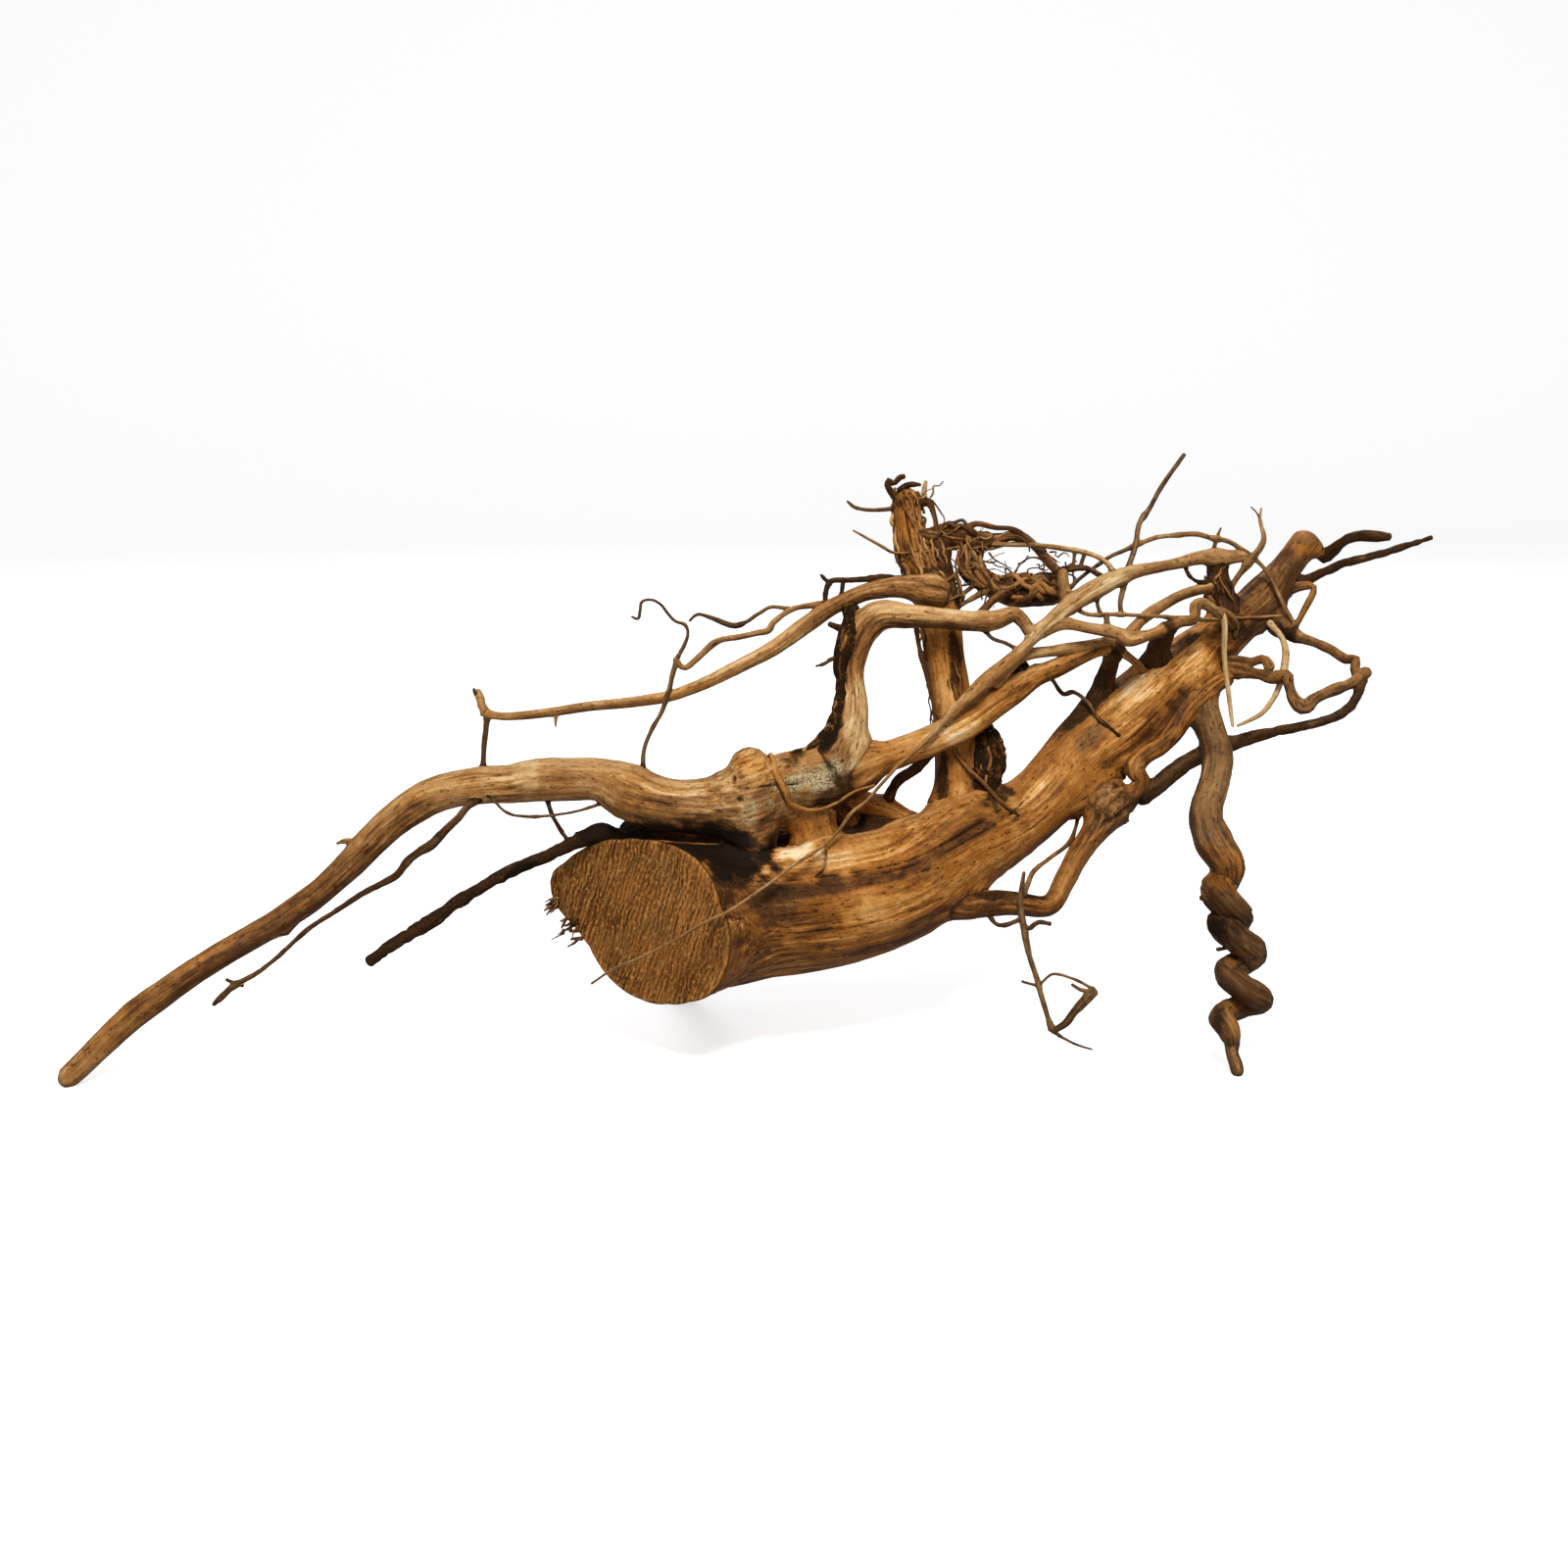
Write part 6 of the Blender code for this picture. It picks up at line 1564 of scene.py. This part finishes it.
def grow_group(context, name, group):
    """One piece from all the limbs of a group, with bark in its own piece where there is any."""
    scene = context.scene
    materials = wood_materials(scene.bogwood_colors)
    limbs = limbs_once()
    bare, barked = [], []
    for limb_name, (look, points) in group.items():
        if limb_name not in HIDDEN:
            skin = grow(limbs[limb_name], limbs, scene.bogwood_sizes)
            (barked if look == "bark" else bare).append(skin)
    piece = make_piece(name, bare, (materials["bare"], materials["sawn"]), context)
    if barked:
        make_piece(name + "_bark", barked, (materials["bark"],), context)
    return piece


def grow_loose(context, name, limbs):
    """One piece from thin limbs that swell towards nothing."""
    scene = context.scene
    materials = wood_materials(scene.bogwood_colors)
    skins = [grow(limb, {}, scene.bogwood_sizes) for limb in limbs]
    return make_piece(name, skins, (materials["bare"],), context)


def scattered(rng, name, count, bundle):
    """Thin fibres as limbs: each starts in a picture box and wanders by a smooth bend to its end."""
    look = LOOKS[bundle.look]
    made = []
    for place in range(count):
        x0, y0, x1, y1, depth, spread = bundle.boxes[place % len(bundle.boxes)]
        start = np.array([
            rng.uniform(x0, x1), rng.uniform(y0, y1), depth + rng.uniform(-spread, spread)])
        turn = rng.uniform(0.0, 2.0 * math.pi)
        way = np.array([math.cos(turn), math.sin(turn), rng.uniform(-0.8, 0.8)])
        if bundle.towards is not None:
            way = 0.45 * way + np.asarray(bundle.towards, float)
        size = rng.uniform(*bundle.length)
        thick = rng.uniform(*bundle.radius)
        stops = []
        for step in range(FIBRE_STEPS + 1):
            stops.append((*start, thick * (1.0 - 0.55 * (step / FIBRE_STEPS))))
            way = unit(way + bundle.bend * rng.normal(size=3))
            start = start + way * size / FIBRE_STEPS
        rows = placed(stops)
        shade = look._replace(tone=look.tone + rng.uniform(-0.10, 0.16))
        made.append(Limb(f"{name}_{place}", shade, rows, rows))
    return made


def wound_strands(rng, host, count, stretch, radius, twist, loose):
    """Strands that run on a limb's skin, as the torn fibres of a gnarled limb do.

    A strand is the limb's course plus its radius in a direction that turns slowly round the course. It
    covers a part of the stretch, given as two shares of the length, and thins out to both ends.
    """
    look = LOOKS["strand"]
    course, along = even_course(host.control, 3.0 * MM)
    tangents = unit(np.gradient(course[:, :3], along, axis=0))
    sides, tops = carried_frames(course[:, :3], tangents)
    span = stretch[1] - stretch[0]
    share = np.linspace(0.0, 1.0, STRAND_POINTS)
    made = []
    for place in range(count):
        first = stretch[0] + span * rng.uniform(0.0, 0.7)
        last = min(stretch[1], first + span * rng.uniform(0.22, 0.6))
        pick = (np.linspace(first, last, STRAND_POINTS) * (len(along) - 1)).astype(int)
        angle = rng.uniform(0.0, 2.0 * math.pi) + twist * rng.normal() * share
        angle += 0.12 * twist * np.cumsum(rng.normal(size=STRAND_POINTS))
        lift = course[pick, 3] * rng.uniform(0.86, 1.18, STRAND_POINTS) + 0.4 * MM
        lift += rng.uniform(0.0, loose) * MM * np.sin(math.pi * share)
        way = np.cos(angle)[:, None] * sides[pick] + np.sin(angle)[:, None] * tops[pick]
        path = course[pick, :3] + lift[:, None] * way
        taper = 0.45 + 0.55 * np.sin(np.linspace(0.1, 3.0, STRAND_POINTS))
        thick = rng.uniform(*radius) * MM * taper
        steps = np.linalg.norm(np.diff(path, axis=0), axis=1)
        if steps.min() > 0.2 * MM:
            rows = np.column_stack([path, thick])
            shade = look._replace(tone=look.tone + rng.uniform(-0.17, 0.22))
            made.append(Limb(f"{host.name}_strand_{place}", shade, rows, rows))
    return made


class BogwoodSizes(bpy.types.PropertyGroup):
    """Sizes of the surface's mesh and relief."""

    ring_step: FloatProperty(
        name="Ring Step", description="Distance between two rings of points along a thick limb",
        default=0.0031, min=0.001, unit="LENGTH")
    grain_step: FloatProperty(
        name="Grain Step", description="Distance between two points around a thick limb",
        default=0.00125, min=0.0005, unit="LENGTH")
    most_turns: IntProperty(
        name="Most Points Around", description="Most points that a ring may have",
        default=284, min=8)
    fibre_depth: FloatProperty(
        name="Fibre Depth", description="Height of the fine ridges along the grain",
        default=0.00035, min=0.0, unit="LENGTH")
    saw_rings: IntProperty(
        name="Saw Cut Rings", description="Rings of points from the saw cut's middle to its rim",
        default=90, min=4)
    fibres: IntProperty(
        name="Fibres", description="Number of loose fine rootlets in the tangle", default=90, min=0)
    splinters: IntProperty(
        name="Splinters", description="Number of torn splinters at the rim of the saw cut",
        default=34, min=0)


def wood_color(name, description, default):
    """A colour property of the piece."""
    return FloatVectorProperty(
        name=name, description=description, subtype="COLOR", size=3, min=0.0, max=1.0,
        default=default)


class BogwoodColors(bpy.types.PropertyGroup):
    """Colours of the wood."""

    dark_wood: wood_color("Dark Wood", "Deep brown of damp or stained wood", (0.095, 0.031, 0.0065))
    amber_wood: wood_color("Amber Wood", "Golden brown of bare wood", (0.34, 0.122, 0.019))
    light_wood: wood_color("Light Wood", "Light honey of rubbed wood", (0.64, 0.325, 0.090))
    pale_wood: wood_color("Pale Wood", "Cream of scraped wood", (0.84, 0.65, 0.40))
    grey_dark_wood: wood_color("Grey Dark Wood", "Dark grey-brown wood", (0.085, 0.048, 0.022))
    grey_wood: wood_color("Grey Wood", "Grey-brown of dry rootlets", (0.27, 0.155, 0.062))
    grey_light_wood: wood_color("Light Grey Wood", "Light dry grey-brown", (0.52, 0.38, 0.20))
    saw_cut: wood_color("Saw Cut", "Mid brown of the sawn face", (0.31, 0.122, 0.028))
    weathered: wood_color("Weathered Skin", "Grey-green weathered skin", (0.33, 0.275, 0.155))
    # The crust colour is also the near-black of painted shade in crevices and dark patches.
    crust: wood_color("Crust", "Black-brown crust and soil", (0.022, 0.011, 0.005))


class OBJECT_OT_bogwood_trunk(bpy.types.Operator):
    """Grow the sawn trunk with its lobe, ridges and cut face, and stand it for the solid"""

    bl_idname = "object.bogwood_trunk"
    bl_label = "Trunk"

    def execute(self, context):
        piece = grow_group(context, "trunk", BUTT)
        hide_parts("bogwood")
        return {"FINISHED"}


class OBJECT_OT_bogwood_limbs(bpy.types.Operator):
    """Grow the thick limbs: the left limb, the long branch, the uprights and the diagonal"""

    bl_idname = "object.bogwood_limbs"
    bl_label = "Thick Limbs"

    def execute(self, context):
        for name, group in (
                ("trunk_side", TRUNK_SIDE), ("left_limb", LEFT_LIMB), ("long_branch", LONG_BRANCH),
                ("upright_one", UPRIGHT_ONE), ("diagonal", DIAGONAL), ("upright_two", UPRIGHT_TWO)):
            grow_group(context, name, group)
        return {"FINISHED"}


class OBJECT_OT_bogwood_twigs(bpy.types.Operator):
    """Grow the twigs under the left limb and the rootlets of the tangle and the thin end"""

    bl_idname = "object.bogwood_twigs"
    bl_label = "Twigs and Rootlets"

    def execute(self, context):
        for name, group in (
                ("left_twigs", LEFT_TWIGS), ("tangle", TANGLE), ("upper_right_twigs", UPPER_RIGHT),
                ("right_roots", RIGHT_ROOTS), ("lower_roots", LOWER_ROOTS)):
            grow_group(context, name, group)
        return {"FINISHED"}


class OBJECT_OT_bogwood_corkscrew(bpy.types.Operator):
    """Grow the root that winds down to the ground like a corkscrew"""

    bl_idname = "object.bogwood_corkscrew"
    bl_label = "Corkscrew Root"

    def execute(self, context):
        grow_group(context, "corkscrew", CORKSCREW)
        return {"FINISHED"}


class OBJECT_OT_bogwood_fibres(bpy.types.Operator):
    """Scatter the fine loose rootlets in the tangle and the splinters at the saw cut's rim"""

    bl_idname = "object.bogwood_fibres"
    bl_label = "Fibres and Splinters"

    def execute(self, context):
        sizes = context.scene.bogwood_sizes
        rng = np.random.default_rng(SEED_FIBRES)
        grow_loose(context, "fibres", scattered(rng, "fibre_1", sizes.fibres, FIBRES))
        grow_loose(context, "splinters", scattered(rng, "fibre_2", sizes.splinters, SPLINTERS))
        return {"FINISHED"}


class OBJECT_OT_bogwood_strands(bpy.types.Operator):
    """Wind torn strands round the gnarled limbs of the tangle and the crown of the second upright"""

    bl_idname = "object.bogwood_strands"
    bl_label = "Torn Strands"

    def execute(self, context):
        rng = np.random.default_rng(SEED_STRANDS)
        limbs = limbs_once()
        grow_loose(context, "strands", [
            strand for name, *settings in STRANDS
            for strand in wound_strands(rng, limbs[name], *settings)])
        return {"FINISHED"}


class OBJECT_OT_bogwood_stage(bpy.types.Operator):
    """Set out the pale floor, the soft lights and the camera"""

    bl_idname = "object.bogwood_stage"
    bl_label = "Stage"

    def execute(self, context):
        add_floor(context)
        add_lights(context)
        add_camera(context)
        return {"FINISHED"}


def add_floor(context):
    """A pale sheet that lies flat to the back, then sweeps up in a quarter round."""
    turn = np.linspace(0.0, math.pi / 2.0, FLOOR_SWEEP_STEPS)
    profile = np.concatenate([
        [[FLOOR_FRONT, 0.0]],
        np.stack([FLOOR_BACK + FLOOR_SWEEP * np.sin(turn), FLOOR_SWEEP * (1.0 - np.cos(turn))], 1),
        [[FLOOR_BACK + FLOOR_SWEEP, FLOOR_TOP]]])
    points = [(x, y, z) for x in (-FLOOR_SIDE, 0.0, FLOOR_SIDE) for y, z in profile.tolist()]
    columns = len(profile)
    corners = [row * columns + column for row in range(2) for column in range(columns - 1)]
    faces = [(corner, corner + columns, corner + columns + 1, corner + 1) for corner in corners]
    mesh = bpy.data.meshes.new("floor")
    mesh.from_pydata(points, [], faces)
    mesh.shade_smooth()
    material = bpy.data.materials.new("Pale backdrop")
    material.use_nodes = True
    tree = material.node_tree
    shader = tree.nodes["Principled BSDF"].inputs
    shader["Roughness"].default_value = 0.9
    shader["Emission Color"].default_value = (1.0, 1.0, 1.0, 1.0)
    seen = tree.nodes.new("ShaderNodeLightPath").outputs["Is Camera Ray"]
    color = blend_of(tree, seen, (FLOOR_UNSEEN_GREY,) * 3, (FLOOR_SEEN_GREY,) * 3)
    tree.links.new(color, shader["Base Color"])
    tree.links.new(times(tree, seen, FLOOR_GLOW), shader["Emission Strength"])
    mesh.materials.append(material)
    floor = bpy.data.objects.new("floor", mesh)
    context.scene.collection.objects.link(floor)


def add_lights(context):
    """Three soft area lights that face the piece, and a pale even world."""
    for name, place, size, power in LIGHTS:
        light = bpy.data.lights.new(name, "AREA")
        light.shape = "DISK"
        light.size = size
        light.energy = power
        lamp = bpy.data.objects.new(name, light)
        lamp.location = place
        x, y, z = np.array(LIGHT_TARGET) - np.array(place)
        lamp.rotation_euler = (
            math.atan2(math.hypot(x, y), -z), 0.0, math.atan2(x, -y) + math.pi)
        context.scene.collection.objects.link(lamp)
    world = bpy.data.worlds.new("Pale room")
    world.use_nodes = True
    background = world.node_tree.nodes["Background"].inputs
    background["Color"].default_value = (1.0, 1.0, 1.0, 1.0)
    background["Strength"].default_value = WORLD_STRENGTH
    context.scene.world = world
    context.scene.view_settings.view_transform = "Standard"


def add_camera(context):
    """The camera looks at the picture's middle from the viewing distance, pitched down."""
    lens = bpy.data.cameras.new("camera")
    lens.sensor_width = SENSOR_WIDTH
    lens.lens = SENSOR_WIDTH * VIEW_DISTANCE / (2.0 * MIDDLE_PIXEL * MM_PER_PIXEL)
    camera = bpy.data.objects.new("camera", lens)
    camera.location = EYE
    camera.rotation_euler = (math.pi / 2.0 - VIEW_PITCH, 0.0, 0.0)
    context.scene.collection.objects.link(camera)
    context.scene.camera = camera


class VIEW3D_PT_bogwood(bpy.types.Panel):
    """Buttons that grow the piece, and its sizes and colours"""

    bl_label = "Bogwood"
    bl_idname = "VIEW3D_PT_bogwood"
    bl_space_type = "VIEW_3D"
    bl_region_type = "UI"
    bl_category = "Bogwood"

    def draw(self, context):
        column = self.layout.column(align=True)
        for operator in OPERATORS:
            column.operator(operator.bl_idname)
        for settings in (context.scene.bogwood_sizes, context.scene.bogwood_colors):
            column = self.layout.column()
            for name in settings.__annotations__:
                column.prop(settings, name)


OPERATORS = (
    OBJECT_OT_bogwood_trunk, OBJECT_OT_bogwood_limbs, OBJECT_OT_bogwood_twigs,
    OBJECT_OT_bogwood_corkscrew, OBJECT_OT_bogwood_strands, OBJECT_OT_bogwood_fibres,
    OBJECT_OT_bogwood_stage)
CLASSES = (BogwoodSizes, BogwoodColors, *OPERATORS, VIEW3D_PT_bogwood)


def register():
    """Make the classes and the two groups of properties known."""
    for entry in CLASSES:
        bpy.utils.register_class(entry)
    bpy.types.Scene.bogwood_sizes = PointerProperty(type=BogwoodSizes)
    bpy.types.Scene.bogwood_colors = PointerProperty(type=BogwoodColors)


def unregister():
    """Take the properties and classes away again."""
    del bpy.types.Scene.bogwood_colors
    del bpy.types.Scene.bogwood_sizes
    for entry in reversed(CLASSES):
        bpy.utils.unregister_class(entry)


def main():
    """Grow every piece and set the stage."""
    register()
    for operator in ("trunk", "limbs", "twigs", "corkscrew", "strands", "fibres", "stage"):
        getattr(bpy.ops.object, "bogwood_" + operator)()


if __name__ == "__main__":
    main()
